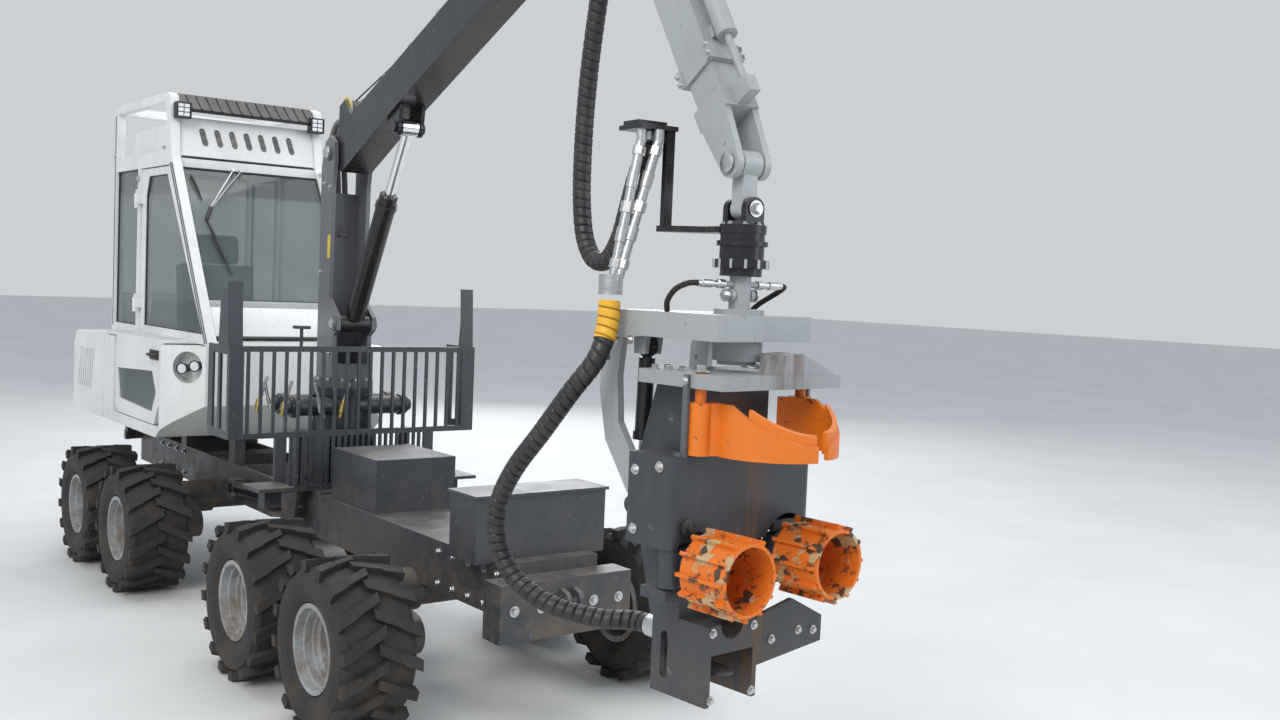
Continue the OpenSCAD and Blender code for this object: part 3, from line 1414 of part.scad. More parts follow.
module roller(s) {
    r = roller_r - 15;
    color(orange) on_head() side(s) translate([roller_u, roller_gap / 2, roller_w]) difference() {
        union() {
            difference() {
                rod_x(r, 0, roller_l);
                rod_x(r - 10, 14, roller_l + 1);
            }
            rod_x(40, 0, 32);
            for (i = [0:rib_count - 1]) rotate([i * 360 / rib_count, 0, 0])
                block(-4, roller_l - 6, -5, 5, r - 3, roller_r);
        }
        rod_x(20 + run, -1, 40);
    }
}

// Curved knives that close round the stem: a tall root, a blade that tapers to its tip and a fin above it
stem_u = 160;
stem_r = 172;
knife_h = 148;

module knife_arc(r0, r1, v_far) {
    intersection() {
        difference() {
            translate([stem_u, 0]) circle(r = r1);
            translate([stem_u, 0]) circle(r = r0);
        }
        polygon([[knife_pivot[0] - 20, v_far], [knife_pivot[0] - 20, 300], [400, 300], [400, 20],
            [300, 20], [stem_u + 60, v_far]]);
    }
}

module knife(s, w0) {
    color(orange) on_head() side(s) {
        intersection() {
            translate([0, 0, w0]) linear_extrude(knife_h) union() {
                knife_arc(stem_r, stem_r + 14, 60);
                translate(knife_pivot) circle(r = 34);
                polygon([[knife_pivot[0] - 27, knife_pivot[1] - 8], [knife_pivot[0] + 30,
                    knife_pivot[1] - 8],
                    [stem_u - 40, stem_r - 2], [stem_u - 92, stem_r - 18]]);
            }
            upright(0, 400) polygon([[0, w0], [400, w0], [400, w0 + 44], [330, w0 + 48], [160, w0 + knife_h],
                [0, w0 + knife_h]]);
        }
        intersection() {
            translate([0, 0, w0]) linear_extrude(knife_h) knife_arc(stem_r - 9, stem_r + 5, 60);
            upright(0, 400) polygon([[215, w0 + 30], [400, w0 + 6], [400, w0 + 62], [320, w0 + 78],
                [215, w0 + 140]]);
        }
        translate([knife_pivot[0], knife_pivot[1], w0]) cylinder(r = 16, h = -160 - w0);
    }
}

// Hoses

// Seen from the side, a route at y from the tip pin
module hose_tip() {
    color(black) on_tip() hose(smooth([for (p = tip_route) [p[0], tip_hose_y, p[1]]], 3), hose_r);
}

module hose_couplers() {
    color(chrome) on_tip() {
        for (c = coupler_tops) {
            translate([c[0], c[1], 60]) cylinder(r = coupler_r + 1, h = 100 - seat_gap - 60);
            bar_between([c[0], c[1], 70], [c[0] * 0.3 - 177, c[1] * 0.3 - 224, -362], coupler_r);
        }
        translate([-253, -288, -396]) cylinder(r = 36, h = 60);
    }
}

module hose_head() {
    color(black) on_head() hose(smooth(head_route, 3), hose_r);
}

rear_chassis();
cab_frame();
cab_body();
cab_glass();
cab_lamps();
cab_seat();
cab_door();
door_glass();
engine_hood();
joint_block();
steer_barrel(1);  // steer_barrel_left
steer_rod(1);  // steer_rod_left
steer_barrel(-1);  // steer_barrel_right
steer_rod(-1);  // steer_rod_right
front_chassis();
crane_guard();
bogie(-rear_bogie, 1);  // bogie_rear_left
bogie(-rear_bogie, -1);  // bogie_rear_right
bogie(front_bogie, 1);  // bogie_front_left
bogie(front_bogie, -1);  // bogie_front_right
tyre_at(0, 1);  // tyre_1_left
tyre_at(1, 1);  // tyre_2_left
tyre_at(2, 1);  // tyre_3_left
tyre_at(3, 1);  // tyre_4_left
tyre_at(0, -1);  // tyre_1_right
tyre_at(1, -1);  // tyre_2_right
tyre_at(2, -1);  // tyre_3_right
tyre_at(3, -1);  // tyre_4_right
rim_at(0, 1);  // rim_1_left
rim_at(1, 1);  // rim_2_left
rim_at(2, 1);  // rim_3_left
rim_at(3, 1);  // rim_4_left
rim_at(0, -1);  // rim_1_right
rim_at(1, -1);  // rim_2_right
rim_at(2, -1);  // rim_3_right
rim_at(3, -1);  // rim_4_right
pillar();
lift_barrel();
lift_rod();
boom();
winch_drum();
fold_barrel();
fold_rod();
stick();
stick_extension();
tip_link();
rotator();
tilt_frame();
tilt_barrel();
tilt_rod();
head_body();
roller_arm(1);  // roller_arm_left
roller_arm(-1);  // roller_arm_right
roller(1);  // roller_left
roller(-1);  // roller_right
knife(1, -388);  // knife_left
knife(-1, -394);  // knife_right
hose_tip();
hose_couplers();
hose_head();
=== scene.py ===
"""Looks of the thinning harvester: finishes, small fittings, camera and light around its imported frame."""
import json
from math import atan2, cos, hypot, pi, radians, sin

import bmesh
import bpy
from mathutils import Matrix, Vector


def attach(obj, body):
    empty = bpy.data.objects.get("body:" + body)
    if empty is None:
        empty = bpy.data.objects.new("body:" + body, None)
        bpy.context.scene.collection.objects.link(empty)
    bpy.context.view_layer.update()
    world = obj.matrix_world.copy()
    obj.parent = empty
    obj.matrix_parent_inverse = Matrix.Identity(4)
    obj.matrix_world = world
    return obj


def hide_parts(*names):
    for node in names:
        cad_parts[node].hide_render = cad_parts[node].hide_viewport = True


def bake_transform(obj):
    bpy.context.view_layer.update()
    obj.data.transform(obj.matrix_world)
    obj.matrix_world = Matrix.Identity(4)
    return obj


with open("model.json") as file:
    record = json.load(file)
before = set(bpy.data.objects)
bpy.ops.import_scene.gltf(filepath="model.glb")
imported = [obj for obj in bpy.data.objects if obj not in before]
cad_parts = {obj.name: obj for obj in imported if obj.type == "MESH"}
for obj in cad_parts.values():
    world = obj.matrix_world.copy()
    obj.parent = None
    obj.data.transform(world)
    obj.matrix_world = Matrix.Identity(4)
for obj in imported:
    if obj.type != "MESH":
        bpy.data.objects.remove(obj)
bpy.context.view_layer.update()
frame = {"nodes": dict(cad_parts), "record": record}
NODES = frame["nodes"]


# Camera

SHIFT_X = 0.6545
LENS = 35.13
CAMERA_AT = Vector((6.08 - SHIFT_X, -2.715, 1.716))
YAW, PITCH, ROLL = radians(38.2), radians(3.37), radians(2.47)


def make_camera():
    """The photograph's view: from the front right, a little below the cab's windows."""
    right = Vector((sin(YAW), cos(YAW), 0))
    ahead = Vector((-cos(YAW) * cos(PITCH), sin(YAW) * cos(PITCH), -sin(PITCH)))
    up = right.cross(ahead)
    side = right * cos(ROLL) + up * sin(ROLL)
    top = up * cos(ROLL) - right * sin(ROLL)
    data = bpy.data.cameras.new("camera")
    data.lens = LENS
    data.clip_end = 200
    camera = bpy.data.objects.new("camera", data)
    camera.matrix_world = Matrix((
        (side.x, top.x, -ahead.x, CAMERA_AT.x),
        (side.y, top.y, -ahead.y, CAMERA_AT.y),
        (side.z, top.z, -ahead.z, CAMERA_AT.z),
        (0, 0, 0, 1)))
    bpy.context.scene.collection.objects.link(camera)
    bpy.context.scene.camera = camera


make_camera()

# Places on the machine, each a frame of its own with X along the member

MM = 0.001
PILLAR_X, SLEW, BOOM_Z = 0.210, radians(-4), 2.310
BOOM_L, BOOM_A = 2.600, radians(20)
STICK_L, STICK_A = 1.330, radians(-57)
LINK_L, ROTOR_TOP, ROTOR_END = 0.130, 0.176, 0.326
HEAD_DROP, HEAD_TURN = 0.438, radians(8)
TRACK_Y, AXLE_Z = 0.695, 0.330
WHEELS_X = (1.800, 1.000, -0.700, -1.500)
FRAME_Y, FRAME_Z, FRAME_TOP, FRAME_MID = 0.220, 0.440, 0.640, 0.540
CAB_W, CAB_BACK, CAB_BROW, CAB_FOOT = 0.900, 2.250, 1.130, 0.460
SILL_Z, CEILING_Z, ROOF_Z, BODY_Z = 1.300, 2.340, 2.700, 0.800
BODY_W, TAIL, DOOR_BACK, POST = 1.270, 2.400, 1.700, 0.050
SCREEN_A = atan2(CEILING_Z - SILL_Z, CAB_BROW - CAB_FOOT)


def shifted(x=0, y=0, z=0):
    """A move by x, y and z."""
    return Matrix.Translation((x, y, z))


def turned(angle, axis):
    """A turn about an axis, in radians."""
    return Matrix.Rotation(angle, 4, axis)


def outward(s):
    """A turn that points Z out of the machine's left (1) or right (-1) side."""
    return turned(-s * pi / 2, "X")


BASE = shifted(-SHIFT_X)
CRANE = BASE @ shifted(PILLAR_X) @ turned(SLEW, "Z")
ON_BOOM = CRANE @ shifted(z=BOOM_Z) @ turned(-BOOM_A, "Y")
KNUCKLE = (BOOM_L * cos(BOOM_A), BOOM_Z + BOOM_L * sin(BOOM_A))
ON_STICK = CRANE @ shifted(KNUCKLE[0], 0, KNUCKLE[1]) @ turned(-STICK_A, "Y")
TIP = (KNUCKLE[0] + STICK_L * cos(STICK_A), KNUCKLE[1] + STICK_L * sin(STICK_A))
ON_TIP = CRANE @ shifted(TIP[0], 0, TIP[1])
ON_HEAD = ON_TIP @ shifted(z=-HEAD_DROP) @ turned(HEAD_TURN, "Z")

# Materials

WRAP_PITCH = 0.030


class Nodes:
    """A material's node tree with short ways to add and join nodes."""

    def __init__(self, name):
        self.material = bpy.data.materials.new(name)
        self.material.use_nodes = True
        self.tree = self.material.node_tree
        self.shader = self.tree.nodes["Principled BSDF"]
        self.place = self.add("ShaderNodeTexCoord").outputs["Object"]

    def add(self, kind, **values):
        node = self.tree.nodes.new(kind)
        for key, value in values.items():
            setattr(node, key, value)
        return node

    def join(self, a, b):
        self.tree.links.new(a, b)

    def noise(self, scale, detail=4, rough=0.6, stretch=None):
        node = self.add("ShaderNodeTexNoise")
        node.inputs["Scale"].default_value = scale
        node.inputs["Detail"].default_value = detail
        node.inputs["Roughness"].default_value = rough
        source = self.place
        if stretch:
            mapping = self.add("ShaderNodeMapping")
            mapping.inputs["Scale"].default_value = stretch
            self.join(source, mapping.inputs["Vector"])
            source = mapping.outputs["Vector"]
        self.join(source, node.inputs["Vector"])
        return node.outputs["Fac"]

    def ramp(self, value, low, high, a=0.0, b=1.0):
        """A value mapped from low..high to a..b and held outside it."""
        node = self.add("ShaderNodeMapRange")
        for key, number in (("From Min", low), ("From Max", high), ("To Min", a), ("To Max", b)):
            node.inputs[key].default_value = number
        self.join(value, node.inputs["Value"])
        return node.outputs["Result"]

    def math(self, operation, a, b=None):
        node = self.add("ShaderNodeMath", operation=operation)
        for socket, value in zip(node.inputs, (a, b)):
            if value is None:
                continue
            if isinstance(value, (int, float)):
                socket.default_value = value
            else:
                self.join(value, socket)
        return node.outputs["Value"]

    def times(self, a, b):
        """The product of two values."""
        return self.math("MULTIPLY", a, b)

    def mix(self, fac, a, b):
        """A colour between a and b, each a colour or a socket."""
        node = self.add("ShaderNodeMix", data_type="RGBA")
        self.join(fac, node.inputs["Factor"])
        for socket, value in zip((node.inputs[6], node.inputs[7]), (a, b)):
            if isinstance(value, (tuple, list)):
                socket.default_value = (*value[:3], 1)
            else:
                self.join(value, socket)
        return node.outputs[2]

    def height(self, low, high):
        """1 at low and below, 0 at high and above, by the height above the ground."""
        split = self.add("ShaderNodeSeparateXYZ")
        self.join(self.place, split.inputs["Vector"])
        return self.ramp(split.outputs["Z"], low, high, 1.0, 0.0)

    def facing_up(self):
        """1 on surfaces that face up, where dust lies."""
        geometry = self.add("ShaderNodeNewGeometry")
        split = self.add("ShaderNodeSeparateXYZ")
        self.join(geometry.outputs["Normal"], split.inputs["Vector"])
        return self.ramp(split.outputs["Z"], 0.3, 1.0)

    def bump(self, height, strength, distance=0.002):
        node = self.add("ShaderNodeBump")
        node.inputs["Strength"].default_value = strength
        node.inputs["Distance"].default_value = distance
        self.join(height, node.inputs["Height"])
        self.join(node.outputs["Normal"], self.shader.inputs["Normal"])

    def finish(self, colour, rough):
        self.join(colour, self.shader.inputs["Base Color"])
        self.join(rough, self.shader.inputs["Roughness"])
        return self.material


MUD = (0.16, 0.115, 0.075)
DUST = (0.34, 0.30, 0.25)
STAIN = (0.115, 0.062, 0.026)


def painted(name, colour, gloss, mud_top, mud, dust=0.35, wear=0.0, under=None, above=None, trail=None):
    """Paint with a slight mottle, dust on top, mud low down and, where asked, rub marks.

    Above is a height and the colour over it. Trail is a place and a direction across a strip of stains.
    """
    n = Nodes(name)
    shade = n.ramp(n.noise(2.5, 3), 0.3, 0.7)
    darker = tuple(c * 0.86 for c in colour)
    base = n.mix(shade, darker, colour)
    if above:
        base = n.mix(n.height(above[0] - 0.0005, above[0] + 0.0005), above[1], base)
    if wear:
        rub = n.ramp(n.noise(34, 6, 0.7), 0.66 - wear * 0.16, 0.7 - wear * 0.12)
        base = n.mix(rub, base, under)
    lying = n.times(n.facing_up(), n.ramp(n.noise(7, 5), 0.35, 0.65, 0.2, 1.0))
    dusty = n.times(lying, dust)
    base = n.mix(dusty, base, DUST)
    low = n.times(n.height(0.25, mud_top), n.ramp(n.noise(9, 6, 0.7), 0.38, 0.6))
    muddy = n.times(low, mud)
    streaks = n.times(n.ramp(n.noise(5, 4, 0.6, (6, 6, 0.6)), 0.55, 0.75), 0.16)
    base = n.mix(n.math("MAXIMUM", muddy, streaks), base, MUD)
    if trail:
        across = n.add("ShaderNodeVectorMath", operation="DOT_PRODUCT")
        n.join(n.place, across.inputs[0])
        across.inputs[1].default_value = trail[1]
        middle = Vector(trail[0]).dot(Vector(trail[1]))
        off = n.math("ABSOLUTE", n.math("SUBTRACT", across.outputs["Value"], middle))
        runs = n.ramp(n.noise(26, 5, 0.6, (1, 1, 0.12)), 0.4, 0.6)
        run = n.times(n.ramp(off, 0.015, 0.10, 1.0, 0.0), runs)
        base = n.mix(n.times(run, 0.75), base, STAIN)
    fine = n.noise(90, 3)
    rough = n.math("ADD", n.ramp(fine, 0.3, 0.7, gloss - 0.06, gloss + 0.08),
                   n.times(n.math("MAXIMUM", muddy, dusty), 0.5))
    n.bump(n.math("ADD", n.times(fine, 0.25), muddy), 0.22, 0.0015)
    return n.finish(base, rough)


def barked(name, colour):
    """Worn paint with flakes of bark and pale wood pressed onto it."""
    n = Nodes(name)
    cells = n.add("ShaderNodeTexVoronoi", feature="F1")
    cells.inputs["Scale"].default_value = 34
    n.join(n.place, cells.inputs["Vector"])
    pick = n.add("ShaderNodeSeparateColor")
    n.join(cells.outputs["Color"], pick.inputs["Color"])
    patchy = n.ramp(n.noise(11, 4, 0.6), 0.50, 0.56)
    wood = n.times(n.math("GREATER_THAN", pick.outputs["Red"], 0.62), patchy)
    bark = n.times(n.math("LESS_THAN", pick.outputs["Red"], 0.30), patchy)
    rub = n.ramp(n.noise(30, 6, 0.7), 0.56, 0.62)
    base = n.mix(rub, colour, (0.20, 0.06, 0.02))
    base = n.mix(wood, base, (0.50, 0.36, 0.19))
    base = n.mix(bark, base, (0.07, 0.045, 0.028))
    n.bump(n.math("ADD", wood, bark), 0.6, 0.003)
    return n.finish(base, n.ramp(n.noise(20, 4), 0.3, 0.7, 0.45, 0.8))


def rubber(name, colour=(0.022, 0.022, 0.023), soil=0.8, top=1.0):
    """Rubber with dried soil."""
    n = Nodes(name)
    soiled = n.times(n.ramp(n.noise(6, 7, 0.7), 0.4, 0.66), soil)
    soiled = n.times(soiled, n.height(0.0, top))
    pale = n.times(n.ramp(n.noise(60, 4), 0.45, 0.7), 0.25)
    base = n.mix(pale, colour, tuple(c * 2.6 for c in colour))
    base = n.mix(soiled, base, (0.12, 0.088, 0.058))
    grain = n.noise(240, 2)
    rough = n.ramp(n.noise(12, 4), 0.3, 0.7, 0.62, 0.86)
    n.bump(n.math("ADD", n.times(grain, 0.4), soiled), 0.3, 0.0015)
    n.shader.inputs["Specular IOR Level"].default_value = 0.35
    return n.finish(base, rough)


def metal(name, colour, low=0.18, high=0.4, stain=(0.2, 0.16, 0.12), stains=0.3):
    """Bare or plated metal with thin stains."""
    n = Nodes(name)
    spots = n.times(n.ramp(n.noise(18, 6, 0.7), 0.55, 0.75), stains)
    base = n.mix(spots, colour, stain)
    rough = n.math("ADD", n.ramp(n.noise(40, 3, 0.5, (1, 1, 8)), 0.3, 0.7, low, high),
                   n.times(spots, 0.4))
    n.bump(n.noise(150, 2), 0.06, 0.0008)
    n.shader.inputs["Metallic"].default_value = 1.0
    return n.finish(base, rough)


def fabric(name, colour):
    """Woven seat cloth."""
    n = Nodes(name)
    weave = n.add("ShaderNodeTexWave", wave_type="BANDS", bands_direction="DIAGONAL")
    weave.inputs["Scale"].default_value = 160
    weave.inputs["Distortion"].default_value = 1.5
    n.join(n.place, weave.inputs["Vector"])
    base = n.mix(n.ramp(n.noise(5, 4), 0.3, 0.7), colour, tuple(c * 1.7 for c in colour))
    n.bump(weave.outputs["Fac"], 0.35, 0.001)
    n.shader.inputs["Sheen Weight"].default_value = 0.25
    return n.finish(base, n.ramp(n.noise(30, 2), 0.3, 0.7, 0.75, 0.92))


def glazing(name, tint, clear, band=2.13):
    """Glass that lets part of the light through, its tint darker above the band's height."""
    n = Nodes(name)
    smear = n.ramp(n.noise(3, 5, 0.7), 0.45, 0.8)
    base = n.mix(smear, tint, tuple(min(1, c * 1.25 + 0.05) for c in tint))
    base = n.mix(n.height(band - 0.002, band + 0.002), tuple(c * 0.35 for c in tint), base)
    n.shader.inputs["Alpha"].default_value = clear
    n.shader.inputs["IOR"].default_value = 1.5
    n.shader.inputs["Specular IOR Level"].default_value = 0.9
    n.bump(n.noise(2, 2), 0.02, 0.001)
    return n.finish(base, n.ramp(smear, 0, 1, 0.03, 0.12))


def spiral_wrap(name, colour, pitch):
    """A hose in a plastic spiral, its turns as bands across the hose."""
    n = Nodes(name)
    uv = n.add("ShaderNodeTexCoord").outputs["UV"]
    split = n.add("ShaderNodeSeparateXYZ")
    n.join(uv, split.inputs["Vector"])
    wound = n.times(split.outputs["Y"], 1 / pitch)
    turns = n.math("FRACT", n.math("ADD", wound, split.outputs["X"]))
    band = n.times(n.ramp(turns, 0.0, 0.14), n.ramp(turns, 0.86, 1.0, 1.0, 0.0))
    grime = n.times(n.ramp(n.noise(14, 5), 0.5, 0.75), 0.22)
    base = n.mix(grime, n.mix(band, tuple(c * 0.25 for c in colour), colour), MUD)
    n.bump(band, 0.8, 0.003)
    return n.finish(base, n.ramp(n.noise(30, 3), 0.3, 0.7, 0.35, 0.6))


def perforated(name, colour):
    """Sheet metal with small round holes close together."""
    n = Nodes(name)
    cells = n.add("ShaderNodeTexVoronoi")
    cells.inputs["Scale"].default_value = 95
    cells.inputs["Randomness"].default_value = 0.0
    n.join(n.place, cells.inputs["Vector"])
    hole = n.ramp(cells.outputs["Distance"], 0.28, 0.34, 1.0, 0.0)
    grime = n.times(n.ramp(n.noise(10, 5), 0.4, 0.7), 0.4)
    base = n.mix(hole, n.mix(grime, colour, DUST), (0.006, 0.006, 0.006))
    n.bump(hole, 0.5, -0.002)
    return n.finish(base, n.ramp(n.noise(30, 3), 0.3, 0.7, 0.4, 0.6))


WHITE = painted("white_paint", (0.80, 0.81, 0.805), 0.3, 1.1, 0.35, 0.22)
DARK = painted("dark_paint", (0.040, 0.047, 0.058), 0.34, 0.9, 0.75, 0.4, 0.25, (0.12, 0.11, 0.1))
GREY = painted("grey_paint", (0.36, 0.385, 0.40), 0.33, 0.6, 0.5, 0.28, 0.15, (0.16, 0.15, 0.14))
RIM_GREY = painted("rim_paint", (0.34, 0.36, 0.38), 0.36, 0.75, 0.85, 0.3, 0.2, (0.14, 0.12, 0.1))
BLACK = painted("black_paint", (0.012, 0.012, 0.014), 0.26, 0.5, 0.4, 0.35, 0.15, (0.06, 0.06, 0.06))
PLATE_W, STAIN_V = -0.2055, 0.030
HEAD_DARK = painted("head_paint", (0.042, 0.049, 0.060), 0.36, 0.9, 0.5, 0.3, 0.1, (0.13, 0.13, 0.13),
                    above=((ON_HEAD @ Vector((0, 0, PLATE_W))).z, (0.30, 0.315, 0.33)),
                    trail=(ON_HEAD @ Vector((0, STAIN_V, 0)), ON_HEAD.to_3x3() @ Vector((0, 1, 0))))
ORANGE = painted("orange_paint", (0.78, 0.185, 0.012), 0.38, 0.5, 0.4, 0.25, 0.25, (0.16, 0.07, 0.03))
ROLLER = barked("roller_paint", (0.72, 0.165, 0.012))
YELLOW = painted("yellow_paint", (0.75, 0.52, 0.02), 0.35, 0.5, 0.2, 0.2)
RED = painted("red_paint", (0.42, 0.03, 0.02), 0.3, 0.5, 0.2, 0.2)
PLASTIC = painted("black_plastic", (0.017, 0.018, 0.02), 0.5, 0.5, 0.3, 0.35)
TRIM = painted("grey_trim", (0.10, 0.11, 0.12), 0.48, 0.5, 0.3, 0.3)
TYRE = rubber("tyre_rubber", soil=0.5)
HOSE = rubber("hose_rubber", (0.014, 0.014, 0.015), 0.25, 4.0)
CHROME = metal("rod_chrome", (0.82, 0.83, 0.85), 0.06, 0.16, stains=0.08)
STEEL = metal("plated_steel", (0.56, 0.56, 0.56), 0.24, 0.46)
BRASSY = metal("yellow_plating", (0.55, 0.42, 0.16), 0.26, 0.5)
PILLAR_GREY = painted("pillar_paint", (0.125, 0.13, 0.145), 0.34, 0.9, 0.5, 0.3, 0.25, (0.07, 0.07, 0.07))
PALE_GREY = painted("pale_paint", (0.55, 0.57, 0.58), 0.36, 0.7, 0.6, 0.25)
PALE_TRIM = painted("pale_trim", (0.42, 0.43, 0.44), 0.5, 0.5, 0.3, 0.3)
ROPE = painted("winch_rope", (0.16, 0.14, 0.12), 0.5, 0.5, 0.3, 0.3)
LENS = painted("lamp_lens", (0.75, 0.77, 0.80), 0.12, 0.5, 0.2, 0.1)
SEAT = fabric("seat_fabric", (0.022, 0.023, 0.026))
GLASS = glazing("window_glass", (0.12, 0.16, 0.16), 0.38)
WRAP = spiral_wrap("spiral_wrap", (0.022, 0.022, 0.024), WRAP_PITCH)
GREY_WRAP = spiral_wrap("grey_wrap", (0.16, 0.16, 0.165), 0.02)
AMBER_WRAP = spiral_wrap("amber_wrap", (0.80, 0.42, 0.02), WRAP_PITCH)
MESH = perforated("wire_mesh", (0.12, 0.125, 0.13))

FINISH = {"white_paint": WHITE, "dark_paint": DARK, "grey_paint": GREY, "black_paint": BLACK,
          "rod_chrome": CHROME, "tyre_rubber": TYRE, "window_glass": GLASS, "lamp_plastic": PLASTIC,
          "seat_fabric": SEAT, "orange_paint": ORANGE, "hose_rubber": HOSE, "bare_steel": STEEL}
# Nodes with a finish of their own inside their slot, by the start of their names, the longer start first
OWN_FINISH = {"rim_": RIM_GREY, "pillar": PILLAR_GREY, "head_body": HEAD_DARK, "roller_arm_": HEAD_DARK,
              "roller_": ROLLER}
SLOT_OF = {s["node"]: s["material_slot"] for s in frame["record"]["subparts"]}
for node_name, node in NODES.items():
    own = [finish for start, finish in OWN_FINISH.items() if node_name.startswith(start)]
    node.data.materials.clear()
    node.data.materials.append(own[0] if own else FINISH[SLOT_OF[node_name]])

# Meshes


def piece(name, bm, material, body, smooth=35):
    """A finished mesh from bm, riding on a body if one is given.

    Its one material slot holds its material. Edges sharper than smooth degrees stay sharp.
    """
    bmesh.ops.recalc_face_normals(bm, faces=bm.faces)
    mesh = bpy.data.meshes.new(name)
    for face in bm.faces:
        face.smooth = True
    for edge in bm.edges:
        if len(edge.link_faces) == 2:
            edge.smooth = edge.calc_face_angle(0) < radians(smooth)
    bm.to_mesh(mesh)
    bm.free()
    mesh.materials.append(material)
    obj = bpy.data.objects.new(name, mesh)
    bpy.context.scene.collection.objects.link(obj)
    if body:
        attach(obj, body)
    return obj


def add_box(bm, place, x0, x1, y0, y1, z0, z1, bevel=0.002):
    """A bevelled box between two corners of place."""
    new = bmesh.ops.create_cube(bm, size=1)["verts"]
    scale = Matrix.Diagonal((x1 - x0, y1 - y0, z1 - z0, 1))
    middle = shifted((x0 + x1) / 2, (y0 + y1) / 2, (z0 + z1) / 2)
    bmesh.ops.transform(bm, matrix=place @ middle @ scale, verts=new)
    if bevel:
        edges = list({e for v in new for e in v.link_edges})
        bmesh.ops.bevel(bm, geom=edges, offset=bevel, segments=2, affect="EDGES", profile=0.6)


def add_turned(bm, place, profile, segments=24):
    """A solid of revolution about the place's Z from (radius, height) points.

    A profile whose ends both stand off the axis makes a ring.
    """
    rings = []
    for r, z in profile:
        if r < 1e-6:
            rings.append([bm.verts.new(place @ Vector((0, 0, z)))])
            continue
        around = [2 * pi * i / segments for i in range(segments)]
        rings.append([bm.verts.new(place @ Vector((r * cos(a), r * sin(a), z))) for a in around])
    open_ends = [ring for ring in (rings[0], rings[-1]) if len(ring) > 2]
    pairs = list(zip(rings, rings[1:]))
    if len(open_ends) == 2:
        pairs.append((rings[-1], rings[0]))
    elif open_ends:
        bm.faces.new(open_ends[0])
    for a, b in pairs:
        for i in range(segments):
            j = (i + 1) % segments
            corners = [a[i % len(a)], a[j % len(a)], b[j % len(b)], b[i % len(b)]]
            unique = list(dict.fromkeys(corners))
            if len(unique) > 2:
                bm.faces.new(unique)


def facing(point, direction):
    """A place at point whose Z looks along direction."""
    return shifted(*point) @ Vector(direction).to_track_quat("Z", "Y").to_matrix().to_4x4()


def add_bolt(bm, place, r):
    """A hexagon bolt head on a washer, standing on the place's XY plane."""
    h = r * 1.1
    add_turned(bm, place, [(0, 0), (r * 1.75, 0), (r * 1.75, r * 0.28), (0, r * 0.28)], 20)
    add_turned(bm, place @ shifted(z=r * 0.28),
               [(0, 0), (r * 1.1, 0), (r * 1.1, h * 0.85), (r * 0.95, h), (0, h)], 6)


def smooth_path(points, steps=8):
    """A Catmull-Rom curve through points."""
    pts = [Vector(p) for p in points]
    pts = [pts[0], *pts, pts[-1]]
    out = []
    for a, b, c, d in zip(pts, pts[1:], pts[2:], pts[3:]):
        for i in range(steps):
            t = i / steps
            out.append(0.5 * (2 * b + (c - a) * t + (2 * a - 5 * b + 4 * c - d) * t * t
                              + (3 * b - a - 3 * c + d) * t ** 3))
    out.append(pts[-2])
    return out


def add_tube(bm, points, r, sides=10, relief=None):
    """A round tube along points, its ends closed, with UV in turns and metres.

    Relief gives how far its skin sinks in at a place along it and round it.
    """
    layer = bm.loops.layers.uv.verify()
    tangents = [(b - a).normalized() for a, b in zip(points, points[1:])]
    tangents.append(tangents[-1])
    normal = tangents[0].orthogonal().normalized()
    rings, travelled = [], [0.0]
    for i, (p, t) in enumerate(zip(points, tangents)):
        if i:
            mean = (t + tangents[i - 1]).normalized()
            normal = (normal - mean * normal.dot(mean)).normalized()
            travelled.append(travelled[-1] + (p - points[i - 1]).length)
            t = mean
        other = t.cross(normal)
        ring = []
        for k in range(sides):
            out = normal * cos(2 * pi * k / sides) + other * sin(2 * pi * k / sides)
            sunk = relief(travelled[-1], k / sides) if relief else 0
            ring.append(bm.verts.new(p + out * (r - sunk)))
        rings.append(ring)
    for i, (a, b) in enumerate(zip(rings, rings[1:])):
        for k in range(sides):
            j = (k + 1) % sides
            face = bm.faces.new((a[k], a[j], b[j], b[k]))
            where = ((k, i), (k + 1, i), (k + 1, i + 1), (k, i + 1))
            for loop, (u, v) in zip(face.loops, where):
                loop[layer].uv = (u / sides, travelled[v])
    bm.faces.new(list(reversed(rings[0])))
    bm.faces.new(rings[-1])


def bent(place, points, steps=6):
    """A smooth path through points of a place."""
    return [place @ p for p in smooth_path(points, steps)]


def add_rod(bm, a, b, r, sides=12):
    """A straight round bar from a to b."""
    add_tube(bm, [Vector(a), Vector(b)], r, sides)


# Hoses that hang free, along the same routes as their solids

HOSE_R, WRAP_DEEP = 0.030, 0.0022
# The coloured band's length in steps of 10 mm, its ends counted
BAND_STEPS = 13
TIP_HOSE_Y = -0.170
TIP_ROUTE = (
    (-0.565, 0.600), (-0.590, 0.480), (-0.615, 0.340), (-0.632, 0.190), (-0.638, 0.040), (-0.632, -0.100),
    (-0.605, -0.215), (-0.545, -0.285), (-0.465, -0.290), (-0.402, -0.230), (-0.362, -0.145),
    (-0.328, -0.060), (-0.296, 0.000), (-0.274, 0.034), (-0.268, 0.050), (-0.268, 0.074), (-0.268, 0.0996))
HEAD_ROUTE = (
    (-0.291, -0.252, 0.023), (-0.286, -0.262, -0.060), (-0.285, -0.300, -0.150), (-0.340, -0.345, -0.250),
    (-0.440, -0.370, -0.380), (-0.560, -0.380, -0.510), (-0.635, -0.380, -0.630), (-0.645, -0.370, -0.750),
    (-0.580, -0.350, -0.855), (-0.450, -0.305, -0.920), (-0.330, -0.215, -0.948), (-0.245, -0.150, -0.945),
    (-0.200, -0.135, -0.945), (-0.165, -0.135, -0.945), (-0.1304, -0.135, -0.945))


def path_length(points):
    """The length of a path in metres."""
    return sum((b - a).length for a, b in zip(points, points[1:]))


